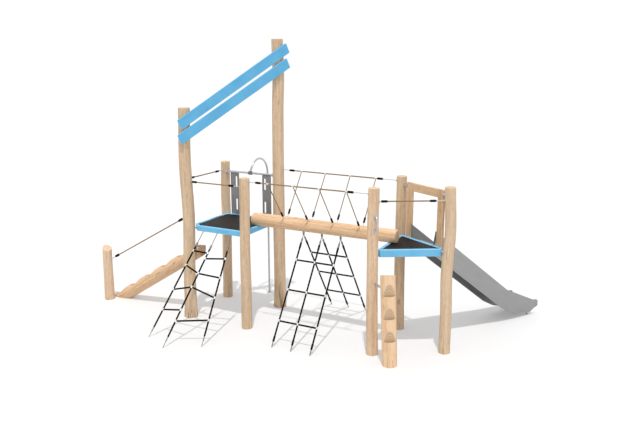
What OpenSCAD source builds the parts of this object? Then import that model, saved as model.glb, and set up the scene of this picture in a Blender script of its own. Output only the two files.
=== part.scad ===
// Wooden climbing frame: a square tower and a slide tower joined by a balance log.
// Millimetres, +Z up, ground at z = 0, +X along the bridge from the square tower to the slide tower.

/* [Layout] */
// Side of the square tower, between post centres
square_side = 1050; // [950:5:1300]
// Side of the triangular slide tower, between post centres
triangle_side = 1040; // [960:5:1300]
// Clear length of the bridge, between the posts that carry it
bridge_span = 2070; // [1700:10:3000]
// Distance from the low roof post to the ramp post
ramp_post_reach = 1760; // [1700:5:1900]
// Height of both decks above the ground
deck_h = 1500; // [1350:5:1600]

/* [Posts] */
// Foot diameter of a tower post
post_foot_d = 162; // [120:1:180]
// Top diameter of a tower post
post_top_d = 150; // [110:1:170]
// Foot diameter of the two tall roof posts
roof_post_foot_d = 191; // [150:1:210]
// Top diameter of the two tall roof posts
roof_post_top_d = 178; // [130:1:195]
// Foot diameter of the short ramp post
ramp_post_d = 160; // [120:1:180]
// Top diameter of the short ramp post
ramp_post_top_d = 150; // [120:1:180]
// Height of a tower post
tower_post_h = 2362; // [2300:2:2600]
// Height of the front post of the square tower
front_post_h = 2325; // [2300:5:2600]
// Height of the lower roof post
low_roof_post_h = 3310; // [3000:10:3500]
// Height of the higher roof post
high_roof_post_h = 4315; // [3900:5:4600]
// Height of the ramp post at its middle
ramp_post_h = 905; // [800:5:1100]
// Largest sideways wander of a natural pole
post_sway = 26; // [0:1:30]
// Rounding of the top edge of a post
post_edge = 8; // [4:1:20]
// Height over which the root flare of a tall post fades out
flare_h = 420; // [200:10:600]

/* [Decks] */
// Width of the blue rim, seen from above
rim_w = 45; // [30:1:60]
// Height of the blue rim of the square tower
rim_h = 86; // [60:1:100]
// Height of the blue rim of the slide tower
triangle_rim_h = 106; // [70:1:115]
// Rounding of the rim's long edges
rim_edge = 9; // [3:0.5:14]
// Distance of the square rim inside the line of post centres
square_inset = 48; // [30:1:60]
// Distance of the triangular rim inside the line of post centres
triangle_inset = 24; // [15:1:40]
// Gap between a rim corner and its post, which a steel spacer fills
corner_gap = 22; // [15:1:40]
// Thickness of a deck board
board_t = 20; // [12:1:30]
// Depth of the deck board below the top of the rim
board_drop = 6; // [0:1:12]
// Diameter of a deck spacer
deck_spacer_d = 38; // [25:1:45]

/* [Balance log and bridge ropes] */
// Diameter of the balance log
log_d = 198; // [140:1:220]
// Depth of the flat cut where the log lies on a rim
log_notch = 12; // [2:0.5:20]
// Rounding of the ends of the balance log
log_edge = 26; // [5:1:40]
// How far the log lies over each deck, past the rim
log_lap = 120; // [100:1:200]
// Height of the front rail rope
rail_h = 2272; // [2100:1:2290]
// Height of the rear rail rope at the high roof post
rail_rear_h = 2306; // [2100:1:2320]
// Height of the rear rail rope at the slide tower
rail_rear_far_h = 2290; // [2100:1:2310]
// Diameter of the rail and guard ropes
rope_d = 18; // [12:1:20]
// Diameter of the ropes from the rails to the log
tie_d = 13; // [8:1:16]
// Number of tie ropes on each side
tie_count = 4; // [3:1:5]
// Bare rope between an outermost tie rope and the sleeve nearest to it
tie_clear = 18.5; // [16:0.5:60]
// Diameter of a black rope sleeve
sleeve_d = 26; // [20:1:30]
// Length of a black rope sleeve
sleeve_l = 90; // [60:1:110]
// Diameter of a steel end rod
rod_d = 11; // [8:0.5:12]
// Length of the turnbuckle rod at the far end of a rail
rod_long_l = 220; // [150:1:260]
// Length of an ordinary end rod
rod_l = 115; // [80:1:140]
// Length of a stub end that is pinned close to its post
rod_stub_l = 22; // [18:1:40]

/* [Guard ropes] */
// Height of the guard rope on the left of the square deck
guard_left_h = 2224; // [2050:1:2280]
// Height of the guard rope at the front of the square deck
guard_front_h = 2190; // [2050:1:2280]
// Height of the guard rope of the slide tower
guard_slide_h = 2176; // [2050:1:2280]
// Height of the ramp rope on the ramp post
ramp_rope_low_h = 674; // [500:1:740]
// Height of the ramp rope on the tall post
ramp_rope_high_h = 1653; // [1550:1:1800]

/* [Roof boards] */
// Width of a roof board
roof_board_w = 152; // [100:1:170]
// Thickness of a roof board
roof_board_t = 28; // [18:1:40]
// Gap between the two roof boards
roof_board_gap = 34; // [20:1:80]
// Level distance that the boards reach past the low post
roof_low_reach = 88; // [60:1:160]
// Level distance that the boards reach past the high post
roof_high_reach = 134; // [60:1:200]
// Height of the low post left above the upper board
roof_low_show = 102; // [60:1:160]
// Height of the high post left above the upper board
roof_high_show = 129; // [60:1:180]
// Rounding of the corners of a roof board
roof_board_round = 16; // [4:1:30]
// Slant of the boards' end cuts, measured along the board
roof_end_skew = 31; // [0:1:60]

/* [Ramp log] */
// Diameter of the ramp log
ramp_log_d = 216; // [150:1:225]
// Slope of the ramp log in degrees
ramp_slope = 31.9; // [28:0.1:35]
// Distance of the ramp log behind the low roof post
ramp_log_y = 222; // [218:1:250]
// Distance from the low roof post to where the log's underside meets the ground
ramp_contact_x = 1431; // [1350:1:1480]
// Level distance from the low roof post to the log's low tip
ramp_tip_x = 1763; // [1700:1:1780]
// Level distance from the low roof post to the log's upper end
ramp_end_x = 90; // [80:1:180]
// Number of footholds along the ramp log
step_count = 5; // [4:1:5]
// Distance between footholds along the log
step_pitch = 408; // [380:1:420]
// Depth of a foothold, square to the log
step_depth = 72; // [50:1:80]
// Length of a foothold along the log
step_tread_l = 114; // [90:1:125]
// Swell of the log between two footholds
step_swell = 30; // [0:1:36]

/* [Step post] */
// Diameter of the step post
step_post_d = 202; // [150:1:220]
// Height of the step post at its middle
step_post_h = 1272; // [1250:1:1350]
// Slope of its top, down towards the tower, in degrees
step_top_slope = 18; // [0:1:25]
// Height of the tube that holds it to the tower
step_tube_h = 1045; // [950:1:1150]
// Height of the lowest ledge
ledge_h = 367; // [320:1:380]
// Distance between ledges
ledge_pitch = 319; // [290:1:325]
// Height of a notch above its ledge
notch_h = 190; // [140:1:220]
// Depth of a ledge
notch_depth = 42; // [25:1:55]
// Distance of the step post outside the slide tower's front side
step_post_out = 367; // [340:1:420]
// Distance of the step post along that side
step_post_along = 197; // [190:1:300]
// Distance that the top of the step post leans back along that side
step_post_lean = 52; // [0:1:60]

/* [Fire pole and side panels] */
// Diameter of the fire pole and its cross bar
pole_d = 34; // [28:1:42]
// Depth of the cross bar below the top of the rear post
bar_drop = 154; // [90:1:250]
// Radius of the arch at the top of the pole
arch_r = 270; // [220:1:320]
// Height of the arch above the cross bar
arch_rise = 202; // [180:1:215]
// Width of a side panel
panel_w = 158; // [120:1:170]
// Thickness of a side panel
panel_t = 16; // [12:1:20]
// Clear way between the side panels
panel_way = 452; // [420:1:500]
// Width of a hand slot
slot_w = 36; // [28:1:45]
// Length of a hand slot
slot_l = 190; // [120:1:210]
// Distance of a slot's middle from the way between the panels
slot_in = 48; // [40:1:60]

/* [Climbing nets] */
// Diameter of the net rope
net_d = 20; // [12:1:22]
// Diameter of a net clamp
clamp_d = 34; // [28:1:40]
// Length of a net clamp
clamp_l = 38; // [25:1:50]
// Distance between the front net's strands at the rim
front_net_pitch = 260; // [200:1:280]
// Distance between the bridge net's strands
bridge_net_pitch = 308; // [250:1:340]
// Distance of the bridge net's feet from the bridge's middle line
bridge_net_spread = 980; // [800:5:1100]
// How far the front net's feet stand out from the low roof post
front_net_reach = 1180; // [1000:5:1300]
// Diameter of the steel cable at the top of a net
cable_d = 9; // [6:0.5:12]

/* [Slide and portal] */
// Clear way between the portal posts
portal_way = 530; // [470:1:560]
// Width of a portal post
portal_post_w = 114; // [90:1:135]
// Thickness of a portal post and of its beam
portal_t = 38; // [30:1:60]
// Height of the portal's top
portal_h = 2296; // [2150:1:2320]
// Height of the portal's beam
portal_beam_h = 117; // [70:1:140]
// Thickness of a slide side
slide_side_t = 16; // [10:1:22]
// Height of a slide side above the deck at the entry
slide_side_rise = 192; // [140:1:220]
// Height of the bed where its straight fall ends
slide_bend_h = 350; // [320:1:380]
// Length of the slide, level, from the portal to the nose
slide_reach = 2232; // [2150:1:2350]
// Height of the bed where its run-out starts
slide_run_h = 218; // [205:1:235]
// Height of the bed at its nose
slide_nose_h = 171; // [155:1:180]
// Narrowing of the slide's sides from top to bottom, on each side
slide_flare = 60; // [0:1:90]
// Thickness of the slide's bed
slide_bed_t = 12; // [6:1:16]

/* [Grab handle] */
// Height of the handle's upper end
handle_top_h = 1982; // [1900:1:2050]
// Distance between the handle's ends
handle_l = 186; // [150:1:220]
// How far the bow stands off the post
handle_out = 62; // [45:1:80]
// Diameter of the handle's bar
handle_d = 24; // [14:1:28]

/* [Hidden] */
$fn = 48;
// Running past a cut, and the seat between curved faces
over = 40;
seat = 0.3;

// Layout in the site frame, with the low roof post at the origin
triangle_x = square_side + bridge_span;
triangle_depth = triangle_side * sqrt(3) / 2;
bridge_y = square_side / 2;
triangle_y = bridge_y - triangle_side / 2;
sway_turn = 27;
sway_dir = [cos(sway_turn), sin(sway_turn)];
across_dir = [-sin(sway_turn), cos(sway_turn)];

// Each post: foot, height, foot radius, top radius, two rows of wander shares, flare share, top tilt share
FOOT = 0;
HEIGHT = 1;
FOOT_R = 2;
TOP_R = 3;
ALONG = 4;
ACROSS = 5;
FLARE = 6;
TILT = 7;
tower_r = post_foot_d / 2;
tower_top_r = post_top_d / 2;
roof_r = roof_post_foot_d / 2;
roof_top_r = roof_post_top_d / 2;
low_post = [[0, 0], low_roof_post_h, roof_r, roof_top_r,
    [0, 0.05, 0.94, 0.05, 0.95], [0, 0.2, 0.4, 0.2, -0.2], 0.07, 0];
high_post = [[square_side, square_side], high_roof_post_h, roof_r, roof_top_r,
    [-0.6, -0.6, -0.6, -0.64, -0.68, -0.64, -0.55, 0.05, -0.5], [0, -0.2, -0.3, 0, 0.3], 0.06, 0];
rear_post = [[0, square_side], tower_post_h, tower_r, tower_top_r,
    [-0.6, -0.3, 0, -0.1, 0.3], [0, 0.2, 0.3, 0.1, -0.1], 0.02, 0];
front_post = [[square_side, 0], front_post_h, tower_r, tower_top_r,
    [0.3, 0.3, 0.22, 0.5, 0.72], [0, -0.2, -0.2, 0, 0.2], 0.02, 0];
slide_front_post = [[triangle_x, triangle_y], tower_post_h, tower_r, tower_top_r,
    [0.15, -0.2, -0.44, -0.55, -0.35], [0, 0.1, 0.3, 0.2, 0], 0.02, 0];
slide_rear_post = [[triangle_x, triangle_y + triangle_side], tower_post_h, tower_r, tower_top_r,
    [0.3, 0.05, -0.1, -0.15, -0.1], [0, 0.2, 0.1, -0.1, -0.2], 0.02, 0];
slide_side_post = [[triangle_x + triangle_depth, bridge_y], tower_post_h, tower_r, tower_top_r,
    [-0.7, -0.6, -1.1, 0.05, -1], [0, -0.1, 0.1, 0.2, 0.1], 0.02, 0];
ramp_post_spec = [[-ramp_post_reach, 0], ramp_post_h, ramp_post_d / 2, ramp_post_top_d / 2,
    [0.64, 0.74, 0.85, 0.96, 1.1], [0, 0.1, 0.1, 0, 0], 0.03, 0.5];

function mix(a, b, t) = a + (b - a) * t;
function unit(v) = v / norm(v);
function lift(p, z) = [p[0], p[1], z];
function flat(p) = [p[0], p[1]];
function turned(v) = [-v[1], v[0]];

// Smooth curve through evenly spaced values, with t from 0 to 1
function wander(v, t) =
    let (n = len(v) - 1, x = min(max(t, 0), 1) * n, i = min(floor(x), n - 1), f = x - i,
         a = v[max(i - 1, 0)], b = v[i], c = v[i + 1], d = v[min(i + 2, n)])
    b + f * ((c - a) + f * ((2 * a - 5 * b + 4 * c - d) + f * (3 * b - a - 3 * c + d))) / 2;

function axis_at(p, z) = p[FOOT] + post_sway *
    (wander(p[ALONG], z / p[HEIGHT]) * sway_dir + wander(p[ACROSS], z / p[HEIGHT]) * across_dir);
function radius_at(p, z) = mix(p[FOOT_R], p[TOP_R], z / p[HEIGHT]);
function core(p, z) = lift(axis_at(p, z), z);
// Point on a post's surface, level with z, in a level direction
function on_post(p, z, dir) = lift(axis_at(p, z) + unit(dir) * (radius_at(p, z) + seat), z);

// Corner of an outline rounded by an arc
function corner(p, v, q, r, n) =
    let (a = unit(p - v), b = unit(q - v), half = acos(a * b) / 2, c = v + unit(a + b) * r / sin(half),
         s = v + a * r / tan(half) - c, e = v + b * r / tan(half) - c)
    [for (i = [0 : n]) c + r * unit(mix(s, e, i / n))];
function rounded(pts, radii, n = 6) =
    let (m = len(pts))
    [for (i = [0 : m - 1]) each radii[i] == 0 ? [pts[i]]
        : corner(pts[(i + m - 1) % m], pts[i], pts[(i + 1) % m], radii[i], n)];

// Closed skin over a row of rings, each with the same number of points
module loft(rings) {
    n = len(rings[0]);
    top = len(rings) - 1;
    sides = [for (i = [0 : top - 1], j = [0 : n - 1])
        let (a = i * n + j, b = i * n + (j + 1) % n)
        each [[a, a + n, b + n], [a, b + n, b]]];
    caps = [[for (j = [0 : n - 1]) j], [for (j = [n - 1 : -1 : 0]) top * n + j]];
    polyhedron([for (r = rings) each r], concat(sides, caps));
}

// Natural pole: rings of points around a wandering axis, flared at the foot and rounded at the top
post_sides = 24;
post_rings = 9;
flare_lobes = 5;
flare_rings_shares = [0, 0.15, 0.4, 0.7];
flare_swell_share = 1.4;
edge_step_share = 0.3;
tilt_zone_share = 0.2;
tilt_turn = -30;
function flare_at(p, z, a) = 1 + p[FLARE] * pow(max(0, 1 - z / flare_h), 2)
    * (flare_swell_share + cos(flare_lobes * a));
function ring_heights(p) = concat(
    [for (s = flare_rings_shares) s * flare_h],
    [for (i = [0 : post_rings]) mix(flare_h, p[HEIGHT] - post_edge, i / post_rings)],
    [p[HEIGHT] - post_edge * edge_step_share, p[HEIGHT]]);
function edge_inset(p, z) = post_edge
    - sqrt(max(0, pow(post_edge, 2) - pow(max(0, z - p[HEIGHT] + post_edge), 2)));
function tilt_at(p, z) = p[TILT] * max(0, z / p[HEIGHT] - 1 + tilt_zone_share) / tilt_zone_share;
function ring(p, z) = [for (j = [0 : post_sides - 1])
    let (a = j * 360 / post_sides, r = radius_at(p, z) * flare_at(p, z, a) - edge_inset(p, z))
    lift(axis_at(p, z) + r * [cos(a), sin(a)], z + tilt_at(p, z) * r * cos(a - tilt_turn - 180))];
module pole_of(p) {
    loft([for (z = ring_heights(p)) ring(p, z)]);
}

// Points a straight piece from a to b
module along(a, b) {
    d = b - a;
    translate(a) rotate([0, acos(d[2] / norm(d)), atan2(d[1], d[0])]) children();
}
module bar(a, b, d) { along(a, b) cylinder(d = d, h = norm(b - a)); }

// Slide tower directions: out through the portal, and along its line
portal_mid = (slide_rear_post[FOOT] + slide_side_post[FOOT]) / 2;
portal_dir = unit(slide_side_post[FOOT] - slide_rear_post[FOOT]);
slide_dir = turned(portal_dir);
portal_face = -triangle_inset + seat;
portal_turn = atan2(portal_dir[1], portal_dir[0]);

// Extent of the whole frame, whose middle is the origin
front_foot_shares = [[-0.038, -0.818], [0.335, -1], [0.733, -0.758]];
front_anchors = front_net_reach * front_foot_shares;
site_min = [-ramp_post_reach - ramp_post_d / 2, front_anchors[1][1] - net_d / 2];
slide_half = portal_way / 2 - seat;
site_max = [(portal_mid + slide_dir * slide_reach + portal_dir * slide_half)[0],
    (portal_mid + slide_dir * slide_reach - portal_dir * slide_half)[1]];
site_mid = (site_min + site_max) / 2;
module site() { translate(lift(-site_mid, 0)) children(); }

post_col = "#d9b48c";
log_col = "#eec698";
blue_col = "#6eb9e8";
deck_col = "#322d2a";
steel_col = "#c3c6c9";
rope_col = "#96876e";
black_col = "#282a2a";
grey_col = "#7d8082";
slide_col = "#9d9d9d";

module roof_post_low() { color(post_col) site() pole_of(low_post); }
module roof_post_high() { color(post_col) site() pole_of(high_post); }
module square_tower_post_rear() { color(post_col) site() pole_of(rear_post); }
module square_tower_post_front() { color(post_col) site() pole_of(front_post); }
module slide_tower_post_front() { color(post_col) site() pole_of(slide_front_post); }
module slide_tower_post_rear() { color(post_col) site() pole_of(slide_rear_post); }
module slide_tower_post_side() { color(post_col) site() pole_of(slide_side_post); }
module ramp_post() { color(post_col) site() pole_of(ramp_post_spec); }

// Decks: an outline with its corners cut square to the posts, a rim of mitred members and a board
rim_mid_h = deck_h - rim_h / 2;
corner_member_share = 1.4;
mitre_share = 0.1;
function inward(posts, i) =
    let (n = len(posts), v = posts[i][FOOT])
    unit(unit(posts[(i + 1) % n][FOOT] - v) + unit(posts[(i + n - 1) % n][FOOT] - v));
function half_angle(posts, i) =
    acos(inward(posts, i) * unit(posts[(i + 1) % len(posts)][FOOT] - posts[i][FOOT]));
function corner_cut(posts, i) = (axis_at(posts[i], rim_mid_h) - posts[i][FOOT]) * inward(posts, i)
    + radius_at(posts[i], rim_mid_h) + corner_gap;
function deck_outline(posts, inset, extra) = [for (i = [0 : len(posts) - 1])
    let (b = inward(posts, i), h = half_angle(posts, i),
         cut = corner_cut(posts, i) + extra * corner_member_share,
         m = posts[i][FOOT] + b * cut, w = (cut - (inset + extra) / sin(h)) * tan(h))
    each [m + turned(b) * w, m - turned(b) * w]];
module deck_rim(posts, inset, h) {
    outer = deck_outline(posts, inset, 0);
    inner = deck_outline(posts, inset, rim_w);
    n = len(outer);
    profile = rounded([[0, 0], [rim_w, 0], [rim_w, h], [0, h]], [rim_edge, 0, rim_edge, rim_edge]);
    for (i = [0 : n - 1]) {
        a = outer[i];
        b = outer[(i + 1) % n];
        a_mitre = (inner[i] - a) * mitre_share;
        b_mitre = (inner[(i + 1) % n] - b) * mitre_share;
        joint = unit(b - a) * seat;
        intersection() {
            translate([0, 0, deck_h - h]) linear_extrude(h)
                polygon([a - a_mitre + joint, b - b_mitre - joint,
                    inner[(i + 1) % n] + b_mitre - joint, inner[i] + a_mitre + joint]);
            translate(lift(a, deck_h - h)) rotate(atan2(b[1] - a[1], b[0] - a[0]))
                translate([-over, 0, 0]) rotate([90, 0, 90])
                linear_extrude(norm(b - a) + 2 * over) polygon(profile);
        }
    }
}
module deck_board(posts, inset) {
    translate([0, 0, deck_h - board_drop - board_t]) linear_extrude(board_t)
        polygon(deck_outline(posts, inset, rim_w + seat));
}
module deck_spacers(posts, inset) {
    for (i = [0 : len(posts) - 1]) {
        b = inward(posts, i);
        m = posts[i][FOOT] + b * corner_cut(posts, i);
        across = turned(b) * ((axis_at(posts[i], rim_mid_h) - posts[i][FOOT]) * turned(b));
        bar(lift(m + across, rim_mid_h), on_post(posts[i], rim_mid_h, b), deck_spacer_d);
    }
}
square_posts = [low_post, front_post, high_post, rear_post];
triangle_posts = [slide_front_post, slide_side_post, slide_rear_post];
module square_deck_rim() { color(blue_col) site() deck_rim(square_posts, square_inset, rim_h); }
module square_deck_board() { color(deck_col) site() deck_board(square_posts, square_inset); }
module square_deck_spacers() { color(steel_col) site() deck_spacers(square_posts, square_inset); }
module triangle_deck_rim() {
    color(blue_col) site() deck_rim(triangle_posts, triangle_inset, triangle_rim_h);
}
module triangle_deck_board() { color(deck_col) site() deck_board(triangle_posts, triangle_inset); }
module triangle_deck_spacers() { color(steel_col) site() deck_spacers(triangle_posts, triangle_inset); }

// Balance log, turned in one piece and cut flat where it lies on the two rims
log_notch_clear = 6;
log_z = deck_h + log_d / 2 - log_notch + seat;
log_from = square_side - square_inset - log_lap;
log_to = triangle_x + triangle_inset + log_lap;
module balance_log() {
    r = log_d / 2;
    l = log_to - log_from;
    seats = [[log_from - over, square_side - square_inset + log_notch_clear],
        [triangle_x + triangle_inset - log_notch_clear, log_to + over]];
    color(log_col) site() difference() {
        translate([log_from, bridge_y, log_z]) rotate([0, 90, 0]) rotate_extrude()
            polygon(rounded([[0, 0], [r, 0], [r, l], [0, l]], [0, log_edge, log_edge, 0]));
        for (s = seats) translate([s[0], bridge_y - log_d, deck_h + seat - log_d])
            cube([s[1] - s[0], 2 * log_d, log_d]);
    }
}

washer_d = 42;
// Rope runs between two posts: post, height, end length, then the same for the far end
rope_runs = [
    [front_post, rail_h, rod_l, slide_front_post, rail_h, rod_long_l],
    [high_post, rail_rear_h, rod_l, slide_rear_post, rail_rear_far_h, rod_long_l],
    [low_post, guard_left_h, rod_stub_l, rear_post, guard_left_h, rod_l],
    [low_post, guard_front_h, rod_stub_l, front_post, guard_front_h, rod_l],
    [slide_front_post, guard_slide_h, rod_stub_l, slide_side_post, guard_slide_h, rod_l],
    [ramp_post_spec, ramp_rope_low_h, rod_l, low_post, ramp_rope_high_h, rod_stub_l]];
function run_dir(r) = unit(core(r[3], r[4]) - core(r[0], r[1]));
// Distance from a post's axis to the washer, which stands square to the rope
function run_seat(p, z, d) = (radius_at(p, z) + seat + abs(d[2]) * washer_d / 2) / norm(flat(d));
function run_from(r) = core(r[0], r[1]) + run_dir(r) * run_seat(r[0], r[1], run_dir(r));
function run_to(r) = core(r[3], r[4]) - run_dir(r) * run_seat(r[3], r[4], run_dir(r));
module rope_of(r) {
    d = run_dir(r);
    color(rope_col) site()
        bar(run_from(r) + d * (r[2] + sleeve_l), run_to(r) - d * (r[5] + sleeve_l), rope_d);
}
module rail_rope_front() { rope_of(rope_runs[0]); }
module rail_rope_rear() { rope_of(rope_runs[1]); }
module guard_rope_left() { rope_of(rope_runs[2]); }
module guard_rope_front() { rope_of(rope_runs[3]); }
module guard_rope_slide_tower() { rope_of(rope_runs[4]); }
module ramp_rope() { rope_of(rope_runs[5]); }

// Black sleeve: a spindle pressed over the end of the rope
sleeve_neck_share = 0.72;
module sleeve(d, l) {
    r = d / 2;
    rotate_extrude() polygon([[0, 0], [r * sleeve_neck_share, 0], [r, r], [r, l - r],
        [r * sleeve_neck_share, l], [0, l]]);
}
// Steel end: a washer on the post, a rod and a collar that takes the sleeve
washer_t = 6;
collar_l = 12;
module end_rod(l) {
    rotate_extrude() polygon([[0, 0], [washer_d / 2, 0], [washer_d / 2, washer_t], [rod_d / 2, washer_t],
        [rod_d / 2, l - collar_l], [rope_d / 2, l - collar_l], [rope_d / 2, l], [0, l]]);
}
module rope_sleeves() {
    color(black_col) site() for (r = rope_runs) {
        d = run_dir(r);
        along(run_from(r) + d * r[2], run_to(r)) sleeve(sleeve_d, sleeve_l);
        along(run_to(r) - d * r[5], run_from(r)) sleeve(sleeve_d, sleeve_l);
    }
}
module rope_end_rods() {
    color(steel_col) site() for (r = rope_runs) {
        along(run_from(r), run_to(r)) end_rod(r[2]);
        along(run_to(r), run_from(r)) end_rod(r[5]);
    }
}

// Tie ropes from the rails to the log, square to the bridge
bridge_mid = square_side + bridge_span / 2;
tie_sleeve_d = 20;
tie_end_l = 46;
tie_end_d = 10;
tie_clamp_d = 28;
tie_clamp_l = 30;
log_core = [bridge_y, log_z];
tie_end_reach = tower_r + rod_long_l + sleeve_l + tie_clear;
tie_pitch = (bridge_span - 2 * tie_end_reach) / (tie_count - 1);
tie_stations = [for (i = [0 : tie_count - 1]) bridge_mid + (i - (tie_count - 1) / 2) * tie_pitch];
function rail_point(r, x) =
    mix(run_from(r), run_to(r), (x - run_from(r)[0]) / (run_to(r)[0] - run_from(r)[0]));
function tie_top(r, x) = rail_point(r, x)
    + unit([x, log_core[0], log_core[1]] - rail_point(r, x)) * tie_clamp_d / 2;
function tie_foot(r, x) = [x, log_core[0], log_core[1]]
    - unit([x, log_core[0], log_core[1]] - rail_point(r, x)) * (log_d / 2 + seat);
tie_runs = [for (k = [0, 1], x = tie_stations) [tie_top(rope_runs[k], x), tie_foot(rope_runs[k], x)]];
module tie_ropes() {
    color(rope_col) site() for (t = tie_runs)
        bar(t[0], t[1] + unit(t[0] - t[1]) * (tie_end_l + sleeve_l), tie_d);
}
module tie_sleeves() {
    color(black_col) site() for (t = tie_runs)
        along(t[1] + unit(t[0] - t[1]) * tie_end_l, t[0]) sleeve(tie_sleeve_d, sleeve_l);
}
module tie_end_eyes() {
    color(steel_col) site() for (t = tie_runs) bar(t[1], t[1] + unit(t[0] - t[1]) * tie_end_l, tie_end_d);
}
module tie_clamps() {
    color(steel_col) site() for (k = [0, 1], x = tie_stations) {
        r = rope_runs[k];
        along(rail_point(r, x) - run_dir(r) * tie_clamp_l / 2, run_to(r)) difference() {
            cylinder(d = tie_clamp_d, h = tie_clamp_l);
            translate([0, 0, -over]) cylinder(d = rope_d + 2 * seat, h = tie_clamp_l + 2 * over);
        }
    }
}

// Roof boards, seated on the front of both tall posts
roof_front = unit([1, -1]);
roof_low_h = low_roof_post_h - roof_low_show;
roof_high_h = high_roof_post_h - roof_high_show;
roof_slope = atan((roof_high_h - roof_low_h) / (square_side * sqrt(2)));
board_drops = [for (i = [0, 1]) (roof_board_w / 2 + i * (roof_board_w + roof_board_gap)) / cos(roof_slope)];
function low_seat(i) = on_post(low_post, roof_low_h - board_drops[i], roof_front);
function high_seat(i) = on_post(high_post, roof_high_h - board_drops[i], roof_front);
module on_board(i) {
    a = low_seat(i);
    d = high_seat(i) - a;
    translate(a) rotate([0, -asin(d[2] / norm(d)), atan2(d[1], d[0])]) children();
}
module roof_board(i) {
    low = roof_low_reach / cos(roof_slope);
    high = norm(high_seat(i) - low_seat(i)) + roof_high_reach / cos(roof_slope);
    color(blue_col) site() on_board(i)
        rotate([90, 0, 0]) linear_extrude(roof_board_t) polygon(rounded([
            [-low - roof_end_skew / 2, -roof_board_w / 2], [high - roof_end_skew / 2, -roof_board_w / 2],
            [high + roof_end_skew / 2, roof_board_w / 2], [-low + roof_end_skew / 2, roof_board_w / 2]],
            [for (i = [0 : 3]) roof_board_round]));
}
module roof_board_upper() { roof_board(0); }
module roof_board_lower() { roof_board(1); }

// Ramp log: a round log cut level at the ground and plumb at both ends, with footholds cut into its back
ramp_r = ramp_log_d / 2;
ramp_axis_x = -ramp_contact_x - ramp_r / sin(ramp_slope);
ramp_first_crest_x = 1444;
first_step = (ramp_contact_x - ramp_first_crest_x + ramp_r / sin(ramp_slope)) / cos(ramp_slope)
    + ramp_r * tan(ramp_slope);
ramp_l = (ramp_end_x - ramp_axis_x) / cos(ramp_slope) + over;
swell_points = 6;
function step_at(k) = first_step + k * step_pitch;
function swell(k) = [for (i = [0 : swell_points])
    let (t = i / swell_points, s = mix(step_at(k - 1) + step_tread_l, step_at(k), t))
    [s, ramp_r - step_depth * (1 - t) + 4 * step_swell * t * (1 - t)]];
ramp_profile = concat(
    [[-over - ramp_l, -ramp_r - over], [ramp_l + over, -ramp_r - over]],
    [let (s = step_at(step_count - 1)) [ramp_l + over, ramp_r - (ramp_l + over - s) * tan(ramp_slope)]],
    [for (k = [step_count - 1 : -1 : 0]) each concat([[step_at(k), ramp_r]],
        [for (i = [swell_points - 1 : -1 : 0]) swell(k)[i]])],
    [[step_at(-1), ramp_r], [step_at(-1), ramp_r + over], [-over - ramp_l, ramp_r + over]]);
module ramp_log() {
    color(log_col) site() intersection() {
        translate([ramp_axis_x, ramp_log_y, 0]) rotate([0, -ramp_slope, 0]) intersection() {
            translate([-ramp_l, 0, 0]) rotate([0, 90, 0]) cylinder(r = ramp_r, h = 2 * ramp_l);
            translate([0, ramp_log_d, 0]) rotate([90, 0, 0]) linear_extrude(2 * ramp_log_d)
                polygon(ramp_profile);
        }
        translate([-ramp_tip_x, ramp_log_y - ramp_log_d, 0])
            cube([ramp_tip_x + ramp_end_x, 2 * ramp_log_d, ramp_l]);
    }
}
ramp_spacer_d = 60;
module ramp_log_spacer() {
    z = (low_post[FOOT][0] - ramp_axis_x) * tan(ramp_slope);
    a = on_post(low_post, z, [0, 1]);
    color(steel_col) site() bar(a, [a[0], ramp_log_y - ramp_r - seat, z], ramp_spacer_d);
}

// Step post: a leaning round post with three footholds, held to the slide tower by one tube
step_out_dir = turned(-unit(slide_side_post[FOOT] - slide_front_post[FOOT]));
step_along_dir = turned(step_out_dir);
step_foot = slide_front_post[FOOT] + step_out_dir * step_post_out + step_along_dir * step_post_along;
step_lean = atan(step_post_lean / step_post_h);
step_r = step_post_d / 2;
step_turn = atan2(step_out_dir[1], step_out_dir[0]);
notch_count = 3;
function step_axis(z) = step_foot - step_along_dir * (z * tan(step_lean));
module step_post() {
    reach = notch_depth + over;
    color(log_col) site() intersection() {
        translate(lift(step_foot, 0)) rotate(step_turn) rotate([step_lean, 0, 0]) difference() {
            translate([0, 0, -over]) cylinder(d = step_post_d, h = step_post_h + over + step_post_d);
            for (k = [0 : notch_count - 1])
                translate([step_r - notch_depth, step_post_d, ledge_h + k * ledge_pitch])
                    rotate([90, 0, 0]) linear_extrude(2 * step_post_d)
                    polygon([[0, 0], [reach, 0], [reach, notch_h * reach / notch_depth]]);
        }
        translate(lift(step_foot - [step_post_h, step_post_h], 0))
            cube([2 * step_post_h, 2 * step_post_h, 2 * step_post_h]);
        translate(lift(step_foot, step_post_h)) rotate(step_turn) rotate([0, -step_top_slope, 0])
            translate([-step_post_h, -step_post_h, -2 * step_post_h])
            cube([2 * step_post_h, 2 * step_post_h, 2 * step_post_h]);
    }
}
step_tube_d = 34;
module step_post_spacer() {
    z = step_tube_h;
    d = unit(step_axis(z) - axis_at(slide_front_post, z));
    color(steel_col) site()
        bar(on_post(slide_front_post, z, d), lift(step_axis(z) - d * (step_r + seat), z), step_tube_d);
}

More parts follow.
